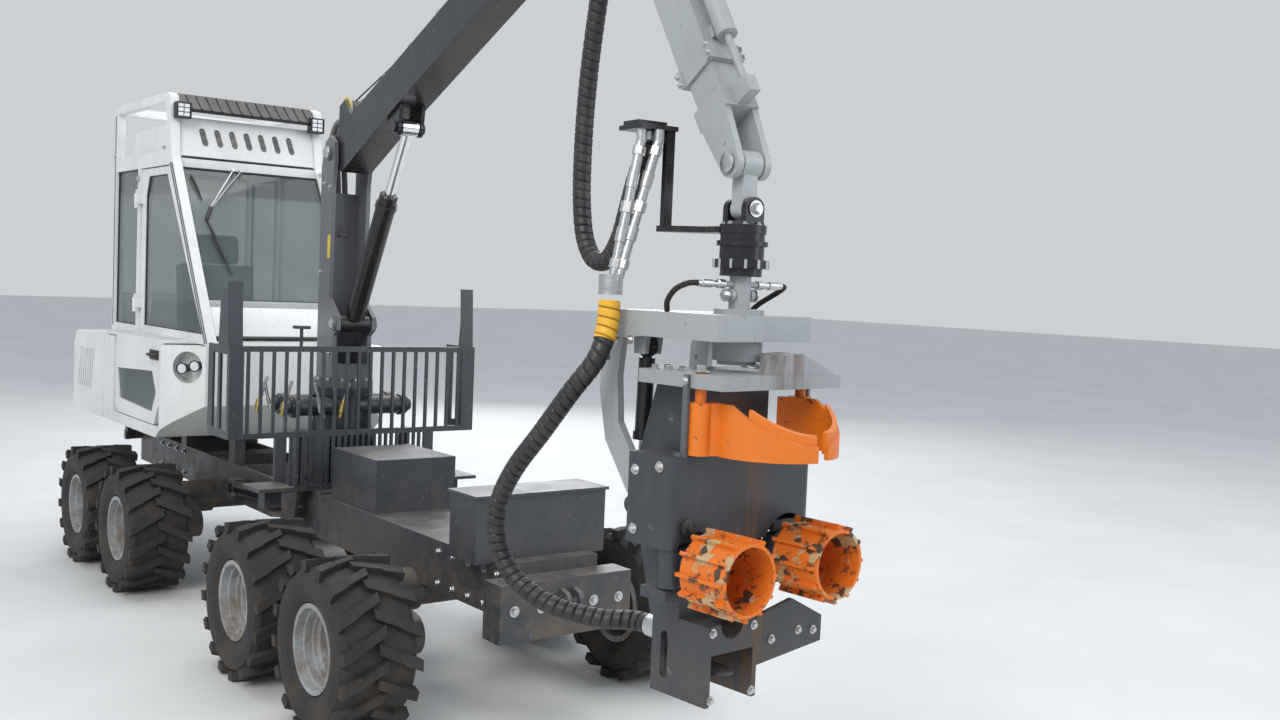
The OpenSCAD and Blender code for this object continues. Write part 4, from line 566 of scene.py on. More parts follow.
def even(points, step):
    """Points along a path about a step apart, its ends kept."""
    total = path_length(points)
    count = max(2, round(total / step))
    out, travelled, i = [points[0]], 0.0, 0
    for k in range(1, count):
        goal = total * k / count
        while travelled + (points[i + 1] - points[i]).length < goal:
            travelled += (points[i + 1] - points[i]).length
            i += 1
        step_on = (points[i + 1] - points[i]).length
        out.append(points[i].lerp(points[i + 1], (goal - travelled) / step_on))
    return out + [points[-1]]


def groove(travelled, turn):
    """How far the wrap's seam sinks at a place along and round a hose."""
    off = abs((travelled / WRAP_PITCH + turn) % 1 - 0.5)
    return WRAP_DEEP if off > 0.42 else 0.0


def wrapped_hose(name, path, body, material, r=HOSE_R):
    """A hose in its spiral wrap."""
    bm = bmesh.new()
    add_tube(bm, even(path, WRAP_PITCH / 8), r, 20, groove)
    return piece(name, bm, material, body, 50)


def hoses():
    """The two free hoses, their couplers' fittings and the coloured wrap under them."""
    tip_path = bent(ON_TIP, [(x, TIP_HOSE_Y, z) for x, z in TIP_ROUTE])
    tip_path.reverse()
    head_path = bent(ON_HEAD, HEAD_ROUTE)
    head_path.reverse()
    tip = wrapped_hose("tip_hose", tip_path, "rotator", WRAP)
    head = wrapped_hose("head_hose", head_path, "head", WRAP)
    for name, path, body, deep in (("tip_collar", tip_path, "rotator", 0.03),
                                   ("head_collar", head_path, "head", 0.05)):
        bm = bmesh.new()
        along = (path[0] - path[1]).normalized()
        add_turned(bm, facing(path[0], along),
                   [(HOSE_R + 0.001, -deep), (HOSE_R + 0.004, -deep + 0.003), (HOSE_R + 0.004, -0.003),
                    (HOSE_R + 0.001, -0.0005)], 28)
        piece(name, bm, STEEL, body)
    # Coloured wrap where the head hose meets its coupler
    upper = even(head_path, 0.01)[-BAND_STEPS:]
    band = wrapped_hose("hose_band", upper, "head", AMBER_WRAP, HOSE_R + 0.0035)
    # Ferrule where the tip hose comes down from the stick
    bm = bmesh.new()
    top = tip_path[-1]
    along = (top - tip_path[-2]).normalized()
    add_turned(bm, facing(top, along),
               [(HOSE_R - 0.002, -0.05), (HOSE_R + 0.005, -0.048), (HOSE_R + 0.005, -0.004),
                (HOSE_R - 0.006, 0.0), (HOSE_R - 0.006, 0.012), (0, 0.012)], 28)
    cap = piece("hose_end", bm, STEEL, "rotator")
    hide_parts("hose_tip")
    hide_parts("hose_head")


hoses()


# Cab

SCREEN_X, SCREEN_Z, SCREEN_HALF, SCREEN_TOP = -CAB_FOOT - 0.014, SILL_Z, 0.398, 1.160
PANEL_TOP, PANEL_FOOT = 0.292, 0.062
BEAD_OUT = -0.004
# Places across and up the glass: each wiper arm's hub and tip, each blade's ends with its width
WIPER_ARMS = (((-0.118, 1.150), (-0.306, 0.861)), ((-0.071, 1.150), (-0.277, 0.892)))
WIPER_BLADES = (((-0.325, 0.807), (-0.241, 0.457), 0.011), ((-0.363, 1.100), (-0.325, 0.940), 0.008))
ARM_LIFT = 0.020
ON_SCREEN = BASE @ shifted(SCREEN_X, 0, SCREEN_Z) @ turned(SCREEN_A - pi / 2, "Y")


def frame_of(bm, place, corners, r):
    """A round bead through corners, closed."""
    path = [place @ Vector(c) for c in corners + corners[:1]]
    for a, b in zip(path, path[1:]):
        add_rod(bm, a, b, r, 8)


def between(a, b, share):
    """A place on the line from a to b."""
    return tuple(p * (1 - share) + q * share for p, q in zip(a, b))


def windscreen():
    """Seal, the pressed panel below the glass, its band and seam, and the wipers."""
    bm = bmesh.new()
    corners = [(BEAD_OUT, across, up) for across, up in
               ((-SCREEN_HALF, PANEL_TOP), (SCREEN_HALF, PANEL_TOP), (SCREEN_HALF, SCREEN_TOP),
                (-SCREEN_HALF, SCREEN_TOP))]
    frame_of(bm, ON_SCREEN, corners, 0.006)
    piece("screen_seal", bm, PLASTIC, "rear")
    # Each strip below the glass: how far it stands out, its foot and top, and its bevel
    for name, out, low, high, bevel, material, slot in (
            ("screen_panel", 0.010, PANEL_FOOT, PANEL_TOP - 0.050, 0.004, WHITE, "white_paint"),
            ("screen_band", 0.006, PANEL_TOP - 0.048, PANEL_TOP - 0.006, 0.003, GREY, "grey_paint"),
            ("screen_seam", 0.008, PANEL_FOOT - 0.014, PANEL_FOOT - 0.002, 0.002, PLASTIC, "lamp_plastic")):
        bm = bmesh.new()
        add_box(bm, ON_SCREEN, -0.008, out, -SCREEN_HALF, SCREEN_HALF, low, high, bevel)
        piece(name, bm, material, "rear")
    bm = bmesh.new()
    for a, b in WIPER_ARMS:
        middle = (ARM_LIFT + 0.012, *between(a, b, 0.5))
        add_tube(bm, bent(ON_SCREEN, [(ARM_LIFT, *a), middle, (ARM_LIFT, *b)], 4), 0.005, 8)
        add_turned(bm, ON_SCREEN @ shifted(BEAD_OUT, *a) @ turned(pi / 2, "Y"),
                   [(0, 0), (0.016, 0), (0.016, 0.018), (0.009, 0.034), (0, 0.034)], 16)
    piece("wiper_arms", bm, STEEL, "rear")
    bm = bmesh.new()
    for a, b, wide in WIPER_BLADES:
        lip = [(0.004, *a), (0.003, *between(a, b, 0.5)), (0.004, *b)]
        spine = [(0.013, *a), (0.017, *between(a, b, 0.4)), (0.010, *between(a, b, 0.8))]
        add_tube(bm, bent(ON_SCREEN, lip, 4), 0.0055, 8)
        add_tube(bm, bent(ON_SCREEN, spine, 4), wide * 0.6, 8)
    knuckle = [ON_SCREEN @ Vector(at) for at in ((0.016, -0.325, 0.800), (0.022, -0.292, 0.880))]
    add_rod(bm, *knuckle, 0.012, 10)
    piece("wiper_blades", bm, PLASTIC, "rear")


SIDE_Y = CAB_W / 2
SEAL_R, DOOR_GAP, HANDLE_X = 0.005, 0.006, -0.760


def side_place(s):
    """The cab's side, its Z outwards, X forward and Y down on the left and up on the right."""
    return BASE @ shifted(y=s * SIDE_Y) @ outward(s)


def cab_trim():
    """Window seals, pillar strips, door handle, hinge bolts, roof seams and the slots' mesh."""
    brow, foot = Vector((-CAB_BROW, CEILING_Z)), Vector((-CAB_FOOT, SILL_Z))
    along = (foot - brow).normalized()
    strip = (brow + along * 0.05, foot - along * 0.02)
    bm = bmesh.new()
    for s in (-1, 1):
        for inset in (0.016, 0.046):
            y = s * (SIDE_Y + 0.0005)
            a, b = (BASE @ Vector((end.x - inset, y, end.y)) for end in strip)
            add_rod(bm, a, b, 0.0045, 8)
        x = -CAB_BACK + POST * 0.5
        low, high = (BASE @ Vector((x, s * SIDE_Y, z)) for z in (SILL_Z + 0.03, ROOF_Z - 0.06))
        add_rod(bm, low, high, 0.004, 8)
    piece("pillar_strips", bm, TRIM, "rear")
    bm = bmesh.new()
    low, high = SILL_Z + POST, CEILING_Z - POST
    seal_y = SIDE_Y - POST / 2 + 0.006
    for s in (-1, 1):
        y = s * seal_y
        corners = [(-CAB_BACK + POST, y, low), (-CAB_BACK + POST, y, high), (-DOOR_BACK - POST, y, high),
                   (-DOOR_BACK - POST, y, low)]
        frame_of(bm, BASE, corners, SEAL_R)
    piece("side_seals", bm, PLASTIC, "rear")
    bm = bmesh.new()
    lean = POST / sin(SCREEN_A)
    bottom, top = SILL_Z + 0.060, CEILING_Z - POST - DOOR_GAP - 0.044
    f_top, f_bot, x_b = -CAB_BROW - lean + 0.014, -CAB_FOOT - lean - 0.014, -DOOR_BACK + DOOR_GAP
    corners = [(x_b + 0.080, bottom), (x_b + 0.080, top - 0.116), (x_b + 0.130, top), (f_top - 0.050, top),
               (f_bot - 0.058, bottom)]
    frame_of(bm, BASE, [(x, -seal_y, z) for x, z in corners], SEAL_R)
    piece("door_seal", bm, PLASTIC, "door")
    # Handle on the door's lower skin
    bm = bmesh.new()
    handle = BASE @ shifted(HANDLE_X, -BODY_W / 2, SILL_Z - 0.060)
    add_box(bm, handle, -0.070, 0.070, -0.006, 0.004, -0.026, 0.026, 0.003)
    grip = [(-0.050, -0.004, 0), (-0.044, -0.024, 0), (0.030, -0.026, 0), (0.050, -0.004, 0)]
    add_tube(bm, bent(handle, grip, 5), 0.008, 10)
    piece("door_handle", bm, PLASTIC, "door")
    bm = bmesh.new()
    for z in (SILL_Z + 0.190, CEILING_Z - 0.230):
        for dx in (0.012, 0.030):
            add_bolt(bm, BASE @ shifted(-DOOR_BACK + dx, -SIDE_Y - 0.004, z) @ turned(pi / 2, "X"), 0.006)
    piece("hinge_bolts", bm, STEEL, "door")
    bm = bmesh.new()
    for s in (-1, 1):
        side = side_place(s)
        add_bolt(bm, side @ shifted(-DOOR_BACK - 0.025, -s * (CEILING_Z - 0.110)), 0.012)
        for x in (-CAB_BACK + 0.025, -CAB_BROW - 0.125):
            add_bolt(bm, side @ shifted(x, -s * (CEILING_Z + 0.050)), 0.008)
    piece("post_bolts", bm, STEEL, "rear")
    # Seam over the windscreen and mesh behind the slots
    bm = bmesh.new()
    add_box(bm, BASE, -CAB_BROW - 0.010, -CAB_BROW - 0.002, -0.390, 0.390, CEILING_Z - 0.004,
            CEILING_Z + 0.004, 0.001)
    piece("roof_seam", bm, PLASTIC, "rear")
    bm = bmesh.new()
    front = BASE @ shifted(-CAB_BROW - 0.008, 0, CEILING_Z) @ turned(-atan2(0.062, 0.230), "Y")
    add_box(bm, front, -0.015, -0.012, -0.330, 0.330, 0.052, 0.196, 0)
    piece("slot_mesh", bm, MESH, "rear")


def grille_mesh():
    """Wire mesh behind the hood's slanted slots."""
    bm = bmesh.new()
    for s in (-1, 1):
        y = s * (BODY_W / 2 - 0.023)
        add_box(bm, BASE, -TAIL + 0.090, -TAIL + 0.500, y - 0.002, y + 0.002, BODY_Z + 0.130,
                BODY_Z + 0.410, 0)
    piece("grille_mesh", bm, MESH, "hood")


def work_lamps():
    """Lens cells, bezels and cooling fins of the roof's lamps, and the corner lamps' lenses."""
    cells, fins = bmesh.new(), bmesh.new()
    for s in (-1, 1):
        y0, z0 = (SIDE_Y - 0.096) if s > 0 else -SIDE_Y + 0.012, ROOF_Z - 0.150
        x = -CAB_BROW + 0.026
        for i in range(2):
            for k in range(3):
                y, z = y0 + 0.010 + i * 0.034, z0 + 0.010 + k * 0.025
                add_box(cells, BASE, x + 0.0003, x + 0.006, y, y + 0.030, z, z + 0.021, 0.003)
        for k in range(7):
            z = z0 + 0.006 + k * 0.0125
            add_box(fins, BASE, x - 0.064, x - 0.046, y0 + 0.004, y0 + 0.080, z, z + 0.005, 0.001)
    lamp = BASE @ shifted(-CAB_FOOT - 0.060, -BODY_W / 2 + 0.100, SILL_Z - 0.110)
    lamp = lamp @ turned(radians(-48), "Z") @ turned(pi / 2, "Y") @ shifted(z=-0.070)
    for d in (-1, 1):
        cone = lamp @ shifted(-0.008 * d, 0.036 * d, 0.0663)
        add_turned(cells, cone,
                   [(0, 0.0002), (0.025, 0.0002), (0.025, 0.003), (0.014, 0.006), (0, 0.007)], 24)
        add_turned(fins, cone, [(0.0255, 0), (0.031, 0), (0.031, 0.005), (0.0255, 0.005)], 28)
    piece("lamp_lenses", cells, LENS, "rear")
    piece("lamp_fins", fins, PLASTIC, "rear")


SEAT_X, ARM_Y, PAD_TOP, BACK_LEAN = -1.350, 0.295, BODY_Z + 0.545, radians(-8)


def cab_inside():
    """Armrest pads, control levers, headrest and the seat's sewn channels."""
    seat = BASE @ shifted(SEAT_X)
    bm = bmesh.new()
    for s in (-1, 1):
        y = s * ARM_Y
        add_box(bm, seat, -0.140, 0.205, y - 0.040, y + 0.040, BODY_Z + 0.521, PAD_TOP, 0.010)
    piece("arm_pads", bm, PALE_TRIM, "rear")
    bm = bmesh.new()
    for s in (-1, 1):
        foot = seat @ shifted(0.165, s * ARM_Y, PAD_TOP)
        add_turned(bm, foot,
                   [(0, 0), (0.030, 0), (0.028, 0.012), (0.014, 0.024), (0.016, 0.060), (0.024, 0.090),
                    (0.022, 0.122), (0.010, 0.134), (0, 0.135)], 18)
    piece("levers", bm, PLASTIC, "rear")
    bm = bmesh.new()
    head = seat @ shifted(-0.320, 0, BODY_Z + 0.93) @ turned(BACK_LEAN, "Y")
    add_box(bm, head, -0.050, 0.050, -0.140, 0.140, 0.014, 0.190, 0.030)
    piece("headrest", bm, SEAT, "rear")
    bm = bmesh.new()
    back = seat @ shifted(-0.210, 0, BODY_Z + 0.34) @ turned(BACK_LEAN, "Y")
    for z in (0.08, 0.20, 0.32, 0.44):
        add_box(bm, back, 0.0205, 0.046, -0.200, 0.200, z, z + 0.105, 0.016)
    for y in (-0.17, 0, 0.17):
        add_box(bm, seat, -0.20, 0.225, y - 0.08, y + 0.08, BODY_Z + 0.3505, BODY_Z + 0.374, 0.010)
    piece("seat_channels", bm, SEAT, "rear")


windscreen()
cab_trim()
grille_mesh()
work_lamps()
cab_inside()


# Wheels and frames

BOGIE_CAP_Y = TRACK_Y - 0.155 - 0.050 + 0.017
BOGIE_X, BOGIE_Z = (1.400, -1.100), AXLE_Z + 0.070
PEDESTAL_Z, NOSE_X = 1.150, 2.250
GUARD_X, GUARD_COUPLERS = 0.366, ((-0.493, 1.091), (-0.434, 1.066), (-0.370, 1.069), (-0.182, 1.055),
                                  (-0.073, 1.052))


def bolt_ring(bm, place, count, radius, r, start=0.0):
    """Bolts on a circle about the place's Z."""
    for k in range(count):
        angle = start + 2 * pi * k / count
        add_bolt(bm, place @ shifted(radius * cos(angle), radius * sin(angle)), r)


def bolt_row(bm, place, xs, zs, r):
    """Bolts on a side plate at every x and z; the place's Z looks out of the plate."""
    for x in xs:
        for z in zs:
            add_bolt(bm, place @ shifted(x, z), r)


def wheel_fittings():
    """Wheel bolts, valve, hub cap and a balance weight on each wheel."""
    for i, x in enumerate(WHEELS_X, 1):
        for side, s in (("left", 1), ("right", -1)):
            hub = BASE @ shifted(x, s * TRACK_Y, AXLE_Z) @ outward(s)
            bm = bmesh.new()
            bolt_ring(bm, hub @ shifted(z=0.028), 8, 0.052, 0.008, 0.2)
            add_rod(bm, hub @ Vector((0.085, 0.03, 0.016)), hub @ Vector((0.092, 0.034, 0.052)), 0.004, 8)
            piece(f"wheel_bolts_{i}_{side}", bm, STEEL, f"wheel_{i}_{side}")
            bm = bmesh.new()
            add_turned(bm, hub, [(0, 0.038), (0.022, 0.038), (0.028, 0.032), (0.029, 0.028)], 20)
            add_box(bm, hub @ turned(2.4, "Z"), 0.128, 0.137, -0.028, 0.028, 0.052, 0.068, 0.002)
            piece(f"hub_cap_{i}_{side}", bm, PALE_GREY, f"wheel_{i}_{side}")


def frame_bolts():
    """Bolts on the bogie caps, frame plates, slewing housing and nose."""
    plates = {"front": (BOGIE_X[0], (1.640, 1.760, 1.880, 2.000, 2.090)),
              "rear": (BOGIE_X[1], (-1.500, -1.640, -1.780, -1.920))}
    for body, (bogie_x, spans) in plates.items():
        bm = bmesh.new()
        for s in (-1, 1):
            out = outward(s)
            bolt_ring(bm, BASE @ shifted(bogie_x, s * BOGIE_CAP_Y, BOGIE_Z) @ out, 6, 0.052, 0.008)
            rows = [s * -(FRAME_Z + 0.035), s * -(FRAME_TOP - 0.035)]
            bolt_row(bm, BASE @ shifted(y=s * FRAME_Y) @ out, spans, rows, 0.010)
        if body == "front":
            bolt_ring(bm, BASE @ shifted(PILLAR_X, 0, FRAME_TOP + 0.020), 10, 0.195, 0.010, pi / 10)
            for s in (-1, 1):
                for x in (-0.080, 0.080):
                    end = BASE @ shifted(PILLAR_X + x, s * 0.330, PEDESTAL_Z - 0.092)
                    bolt_ring(bm, end @ outward(s), 4, 0.020, 0.004, 0.4)
            for y in (-0.24, -0.12, 0.12, 0.24):
                add_bolt(bm, BASE @ shifted(NOSE_X, y, 0.500) @ turned(pi / 2, "Y"), 0.012)
        piece(f"frame_bolts_{body}", bm, STEEL, body)
    bm = bmesh.new()
    bolt_ring(bm, CRANE @ shifted(z=PEDESTAL_Z + 0.0363), 12, 0.134, 0.009, 0.13)
    piece("pillar_bolts", bm, STEEL, "pillar")


def guard_hoses():
    """Short fittings hung behind the guard's bars."""
    bm, tips = bmesh.new(), bmesh.new()
    for k, (y, z) in enumerate(GUARD_COUPLERS):
        place = BASE @ shifted(GUARD_X, y, z) @ turned(radians(18 if k % 2 else -14), "X")
        add_turned(bm if k % 2 else tips, place,
                   [(0, -0.045), (0.011, -0.045), (0.011, -0.022), (0.016, -0.018), (0.016, 0.016),
                    (0.010, 0.020), (0.010, 0.048), (0, 0.048)], 12)
        add_rod(bm, place @ Vector((0, 0, 0.040)), place @ Vector((0.006, 0.004, 0.130)), 0.008, 8)
    for y in (-0.52, -0.34, -0.04, 0.04):
        add_box(bm, BASE, GUARD_X - 0.0035, GUARD_X + 0.0085, y - 0.020, y + 0.020, 1.334, 1.356, 0.002)
    piece("guard_couplers", bm, STEEL, "front")
    piece("guard_couplers_plated", tips, BRASSY, "front")


wheel_fittings()
frame_bolts()
guard_hoses()


# Crane

BOOM_TOP = 0.095
CLAMPS_X = (0.300, 0.600, 0.900, 1.200)
# The lift cylinder's two pins, on the pillar and on the boom, and what its barrel and rod stop short of
LIFT_FOOT, LIFT_EYE = (0.120, 0, 1.470), (0.700, -0.174)
LIFT_SHORT, GLAND, ROD_TAIL = (0.400, 0.420), 0.050, 0.075
WINCH_X, WINCH_Z, WINCH_HALF = 0.130, BOOM_TOP + 0.080, 0.045


def side_pin(bm, place, s, y, r, high=0.02):
    """A domed pin cover on the member's side at height y from its middle."""
    add_turned(bm, place @ shifted(y=s * y) @ outward(s),
               [(0, 0), (r, 0), (r, high * 0.35), (r * 0.72, high * 0.8), (r * 0.3, high), (0, high)], 24)


def pillar_fittings():
    """Pin covers, a blank yellow plate and the hoses from the pillar into the boom's root."""
    bm = bmesh.new()
    for s in (-1, 1):
        side_pin(bm, CRANE @ shifted(z=BOOM_Z), s, 0.110, 0.030, 0.022)
        side_pin(bm, CRANE @ shifted(0.120, 0, 1.470), s, 0.110, 0.026, 0.012)
        for x, z in ((-0.060, 1.32), (0.060, 1.32), (-0.060, 2.16), (0.020, 2.14), (-0.080, 1.72)):
            add_bolt(bm, CRANE @ shifted(x, s * 0.100, z) @ outward(s), 0.008)
    piece("pillar_pins", bm, STEEL, "pillar")
    bm = bmesh.new()
    add_box(bm, CRANE, 0.004, 0.040, -0.1015, -0.0995, 1.790, 1.905, 0.0005)
    piece("pillar_plate", bm, YELLOW, "pillar")
    bm = bmesh.new()
    for k in range(3):
        y = -0.040 + 0.036 * k
        path = [(-0.098, y, 1.900), (-0.128, y, 2.120), (-0.150, y, 2.280), (-0.128, y * 1.1, 2.400),
                (-0.040, y * 1.1, 2.470), (0.040, y, 2.440)]
        add_tube(bm, bent(CRANE, path), 0.015, 12)
    bundle = piece("root_hoses", bm, GREY_WRAP, None, 50)
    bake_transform(bundle)


def lift_fittings():
    """The lift cylinder's gland, and the rod's tail, which stays in the barrel at full lift."""
    top = CRANE @ Vector((LIFT_EYE[0] * cos(BOOM_A) - LIFT_EYE[1] * sin(BOOM_A), 0,
                          BOOM_Z + LIFT_EYE[0] * sin(BOOM_A) + LIFT_EYE[1] * cos(BOOM_A)))
    foot = CRANE @ Vector(LIFT_FOOT)
    line = facing(foot, top - foot)
    length = (top - foot).length
    barrel, tail = length - LIFT_SHORT[0], LIFT_SHORT[1]
    bm = bmesh.new()
    add_turned(bm, line @ shifted(z=barrel),
               [(0.0235, 0.0003), (0.043, 0.0003), (0.043, GLAND - 0.006), (0.037, GLAND), (0.0235, GLAND)],
               32)
    piece("lift_gland", bm, BLACK, "lift_barrel")
    bm = bmesh.new()
    add_turned(bm, line @ shifted(z=tail),
               [(0, -ROD_TAIL), (0.0215, -ROD_TAIL), (0.0215, 0.004), (0, 0.004)], 32)
    piece("lift_rod_tail", bm, CHROME, "lift_rod")


def boom_fittings():
    """Bright pipes and pale clamps along the boom, winch rope, its flange ring and the hook."""
    bm = bmesh.new()
    for i in range(4):
        y, z = i * 0.022 - 0.033, BOOM_TOP + 0.014
        add_rod(bm, ON_BOOM @ Vector((0.308, y, z)), ON_BOOM @ Vector((1.412, y, z)), 0.0084, 12)
        for x in (0.322, 1.395):
            add_turned(bm, ON_BOOM @ shifted(x, y, z) @ turned(pi / 2, "Y"),
                       [(0.0085, -0.012), (0.0118, -0.012), (0.0118, 0.012), (0.0085, 0.012)], 6)
    piece("boom_pipes", bm, STEEL, "boom")
    bm = bmesh.new()
    for x in CLAMPS_X:
        add_box(bm, ON_BOOM, x - 0.002, x + 0.036, -0.054, 0.054, BOOM_TOP - 0.002, BOOM_TOP + 0.029, 0.004)
    piece("pipe_clamps", bm, PALE_TRIM, "boom")
    bm = bmesh.new()
    for x in CLAMPS_X:
        for y in (-0.042, 0.042):
            add_bolt(bm, ON_BOOM @ shifted(x + 0.017, y, BOOM_TOP + 0.029), 0.005)
    for s in (-1, 1):
        side_pin(bm, ON_BOOM @ shifted(BOOM_L), s, 0.083, 0.026, 0.014)
    piece("boom_bolts", bm, STEEL, "boom")
    drum = ON_BOOM @ shifted(WINCH_X, 0, WINCH_Z) @ turned(pi / 2, "X")
    bm = bmesh.new()
    profile = [(0.0405, -0.036)]
    for k in range(9):
        z = -0.036 + k * 0.008
        profile += [(0.0495, z + 0.0006), (0.0530, z + 0.004), (0.0495, z + 0.0074)]
    add_turned(bm, drum, profile + [(0.0405, 0.036)], 28)
    piece("winch_rope", bm, ROPE, "winch")
    bm = bmesh.new()
    add_turned(bm, drum, [(0.030, 0.0452), (0.064, 0.0452), (0.064, 0.0482), (0.030, 0.0482)], 32)
    piece("winch_ring", bm, YELLOW, "winch")
    hook = ON_BOOM @ shifted(1.236, 0, BOOM_TOP + 0.030)
    bm = bmesh.new()
    curl = [(-0.020, 0, 0.004), (0.006, 0, 0.004), (0.034, 0, 0.020), (0.056, 0, 0.016), (0.062, 0, 0.005),
            (0.048, 0, 0.006)]
    add_tube(bm, bent(hook, curl), 0.006, 10)
    piece("winch_hook", bm, RED, "boom")


def stick_fittings():
    """Bolts on the tube's slide pads and covers over the tip's pin."""
    bm = bmesh.new()
    for s in (-1, 1):
        for x in (0.955, 0.985):
            for z in (-0.078, 0.078):
                add_bolt(bm, ON_STICK @ shifted(x, s * 0.066, z) @ outward(s), 0.006)
        for x in (0.30, 0.60):
            add_bolt(bm, ON_STICK @ shifted(x, s * 0.058, 0.0) @ outward(s), 0.007)
    piece("stick_bolts", bm, STEEL, "stick")
    bm = bmesh.new()
    for s in (-1, 1):
        side_pin(bm, ON_STICK @ shifted(STICK_L), s, 0.0705, 0.030, 0.010)
    piece("tip_pins", bm, STEEL, "extension")


def rotator_fittings():
    """Bolts round the rotator, manifold fittings, coupler sleeves and the ports' hoses."""
    bm = bmesh.new()
    bolt_ring(bm, ON_TIP @ shifted(z=-ROTOR_TOP), 8, 0.058, 0.006, 0.2)
    for x in (-0.055, 0.055):
        turn = pi / 2 if x > 0 else -pi / 2
        add_bolt(bm, ON_TIP @ shifted(x, 0, -LINK_L) @ turned(turn, "Y"), 0.014)
    for k in range(12):
        angle = 2 * pi * k / 12
        side = ON_TIP @ shifted(0.0795 * cos(angle), 0.0795 * sin(angle), -ROTOR_END + 0.036)
        add_rod(bm, side @ Vector((0, 0, -0.013)), side @ Vector((0, 0, 0.013)), 0.005, 6)
    piece("rotator_bolts", bm, STEEL, "rotator")
    bm = bmesh.new()
    for c in ((-0.235, -0.213), (-0.215, -0.164)):
        top = ON_TIP @ Vector((*c, 0.070))
        end = ON_TIP @ Vector((c[0] * 0.3 - 0.177, c[1] * 0.3 - 0.224, -0.362))
        line = facing(top, end - top)
        long = (end - top).length
        sleeves = ((0.02, 0.020, 0.030, 6), (0.10, 0.018, 0.050, 24), (0.19, 0.021, 0.036, 6),
                   (0.27, 0.019, 0.045, 24), (long - 0.075, 0.020, 0.030, 6))
        for at, r, tall, sides in sleeves:
            add_turned(bm, line,
                       [(0.0151, at), (r, at + 0.002), (r, at + tall - 0.002), (0.0151, at + tall)], sides)
    piece("coupler_sleeves", bm, STEEL, "rotator")
    bm = bmesh.new()
    for s in (-1, 1):
        port = ON_HEAD @ shifted(0, s * 0.090, 0.088) @ outward(s)
        add_turned(bm, port,
                   [(0, -0.02), (0.0135, -0.02), (0.0135, 0.004), (0.0095, 0.008), (0.0095, 0.030),
                    (0.0125, 0.032), (0.0125, 0.070), (0.0095, 0.074), (0.0095, 0.088), (0, 0.088)], 12)
        add_bolt(bm, ON_HEAD @ shifted(0, s * 0.059, 0.056) @ outward(s), 0.011)
    piece("port_fittings", bm, STEEL, "tilt_frame")
    bm = bmesh.new()
    for s in (-1, 1):
        loop = [(0, s * 0.176, 0.088), (-0.010, s * 0.205, 0.085), (-0.050, s * 0.215, 0.066),
                (-0.100, s * 0.196, 0.032), (-0.120, s * 0.176, 0.004)]
        add_tube(bm, bent(ON_HEAD, loop), 0.0085, 12)
    piece("port_hoses", bm, HOSE, "tilt_frame")


pillar_fittings()
lift_fittings()
boom_fittings()
stick_fittings()
rotator_fittings()


# Harvester head

HEAD_V = 0.200
TILT_U, TILT_W = -0.190, -0.510
KNIFE_U, KNIFE_V, KNIFE_TOP = 0.070, 0.212, -0.160
ROLLER_U, ROLLER_V, ROLLER_W = 0.132, 0.190, -0.715
SAW_BOX_U, SIDE_V = 0.100, 0.300


def tilt_fittings():
    """Pivot covers and bolts on the tilt frame's arms."""
    bm = bmesh.new()
    for s in (-1, 1):
        place = ON_HEAD @ shifted(TILT_U, s * HEAD_V, TILT_W) @ outward(s)
        add_turned(bm, place, [(0, 0), (0.036, 0), (0.036, 0.006), (0.030, 0.010), (0, 0.010)], 28)
        bolt_ring(bm, place @ shifted(z=0.010), 3, 0.020, 0.005)
        for u in (-0.310, -0.250):
            add_bolt(bm, ON_HEAD @ shifted(u, s * HEAD_V, -0.090) @ outward(s), 0.008)
    piece("tilt_bolts", bm, STEEL, "tilt_frame")


def head_fittings():
    """Straps beside the knives' roots, bolts and a round knob."""
    bm = bmesh.new()
    for s in (-1, 1):
        y0, y1 = sorted((s * 0.2505, s * 0.2625))
        add_box(bm, ON_HEAD, 0.048, 0.066, y0, y1, -0.4005, -0.168, 0.002)
        add_box(bm, ON_HEAD, 0.040, 0.058, *sorted((s * 0.236, s * 0.276)), -0.400, -0.388, 0.003)
    piece("knife_straps", bm, TRIM, "head")
    bm = bmesh.new()
    for s in (-1, 1):
        out = outward(s)
        add_bolt(bm, ON_HEAD @ shifted(0.057, s * 0.2625, -0.185) @ out, 0.007)
        for u, w in ((-0.090, -0.450), (-0.090, -0.620), (0.010, -0.430)):
            add_bolt(bm, ON_HEAD @ shifted(u, s * SIDE_V, w) @ out, 0.009)
        bolt_row(bm, ON_HEAD @ shifted(z=-0.165), (-0.120, -0.060), (s * 0.215, s * 0.165), 0.009)
    for v, w in ((-0.150, -0.905), (0.020, -0.905), (-0.150, -1.100), (0.020, -1.100), (0.100, -0.960),
                 (0.220, -0.950), (0.290, -0.960)):
        add_bolt(bm, ON_HEAD @ shifted(SAW_BOX_U, v, w) @ turned(pi / 2, "Y"), 0.008)
    piece("head_bolts", bm, STEEL, "head")
    bm = bmesh.new()
    knob = ON_HEAD @ shifted(0.060, -0.236, -0.600) @ turned(pi / 2, "Y")
    add_turned(bm, knob, [(0, 0), (0.024, 0), (0.026, 0.004), (0.026, 0.014), (0.018, 0.018), (0.010, 0.018),
                          (0.010, 0.026), (0, 0.026)], 20)
    piece("head_knob", bm, PLASTIC, "head")


def knife_nuts():
    """Hub nuts over the knives' pins."""
    for side, s in (("left", 1), ("right", -1)):
        bm = bmesh.new()
        pin = ON_HEAD @ shifted(KNIFE_U, s * KNIFE_V, KNIFE_TOP)
        add_bolt(bm, pin @ shifted(z=0.0003), 0.014)
        piece(f"knife_nut_{side}", bm, STEEL, f"knife_{side}")


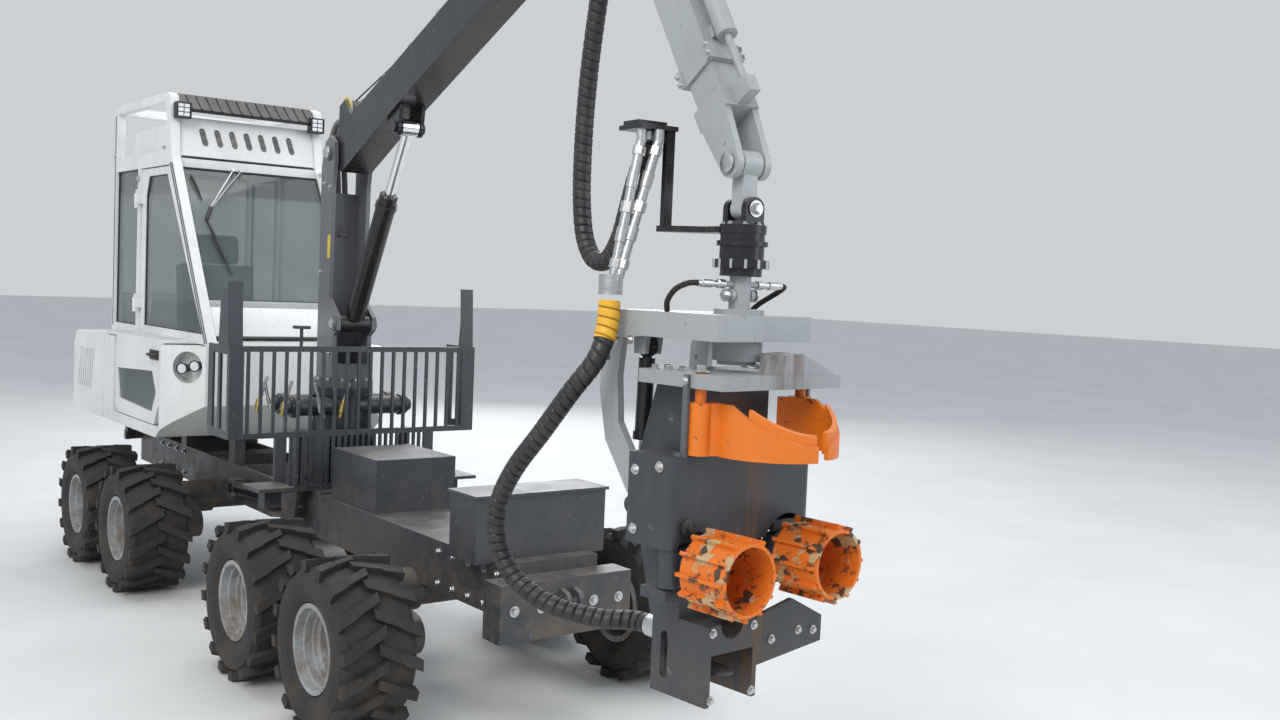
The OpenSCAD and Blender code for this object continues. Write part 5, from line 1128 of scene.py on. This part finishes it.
def roller_fittings():
    """Hub bolts inside the feed rollers."""
    for side, s in (("left", 1), ("right", -1)):
        bm = bmesh.new()
        face = ON_HEAD @ shifted(ROLLER_U, s * ROLLER_V, ROLLER_W) @ turned(pi / 2, "Y")
        bolt_ring(bm, face, 5, 0.031, 0.005)
        piece(f"roller_bolts_{side}", bm, STEEL, f"roller_{side}")


tilt_fittings()
head_fittings()
knife_nuts()
roller_fittings()


# Floor and light


def studio():
    """Pale floor and a pale grey backdrop, with soft light from above and from the camera's left."""
    bm = bmesh.new()
    bmesh.ops.create_grid(bm, x_segments=1, y_segments=1, size=60)
    mesh = bpy.data.meshes.new("floor")
    bm.to_mesh(mesh)
    bm.free()
    n = Nodes("floor")
    base = n.mix(n.ramp(n.noise(0.8, 4), 0.3, 0.7), (0.60, 0.60, 0.59), (0.66, 0.66, 0.65))
    n.bump(n.noise(60, 3), 0.08, 0.001)
    mesh.materials.append(n.finish(base, n.ramp(n.noise(3, 3), 0.3, 0.7, 0.6, 0.75)))
    floor = bpy.data.objects.new("floor", mesh)
    bpy.context.scene.collection.objects.link(floor)
    world = bpy.data.worlds.new("world")
    bpy.context.scene.world = world
    world.use_nodes = True
    tree = world.node_tree
    output = tree.nodes["World Output"]
    lit = tree.nodes["Background"]
    lit.inputs["Color"].default_value = (0.80, 0.87, 0.95, 1)
    lit.inputs["Strength"].default_value = 0.75
    seen = tree.nodes.new("ShaderNodeBackground")
    seen.inputs["Color"].default_value = (0.72, 0.74, 0.76, 1)
    seen.inputs["Strength"].default_value = 0.85
    paths = tree.nodes.new("ShaderNodeLightPath")
    mix = tree.nodes.new("ShaderNodeMixShader")
    tree.links.new(paths.outputs["Is Camera Ray"], mix.inputs["Fac"])
    tree.links.new(lit.outputs["Background"], mix.inputs[1])
    tree.links.new(seen.outputs["Background"], mix.inputs[2])
    tree.links.new(mix.outputs["Shader"], output.inputs["Surface"])
    lights = (("key", (5.5, -7.5, 7.5), 6.0, 620, (1.0, 0.97, 0.93)),
              ("fill", (8.0, 5.0, 5.0), 7.0, 260, (0.92, 0.96, 1.0)),
              ("top", (-2.0, 1.0, 9.5), 8.0, 420, (1.0, 1.0, 1.0)),
              ("back", (-8.0, 6.0, 5.0), 6.0, 320, (0.95, 0.97, 1.0)))
    for name, at, wide, power, colour in lights:
        data = bpy.data.lights.new(name, "AREA")
        data.shape = "DISK"
        data.size = wide
        data.energy = power
        data.color = colour
        light = bpy.data.objects.new(name, data)
        light.matrix_world = facing(at, Vector(at) - Vector((0.3, 0, 1.2)))
        bpy.context.scene.collection.objects.link(light)
    scene = bpy.context.scene
    scene.view_settings.view_transform = "Standard"


studio()
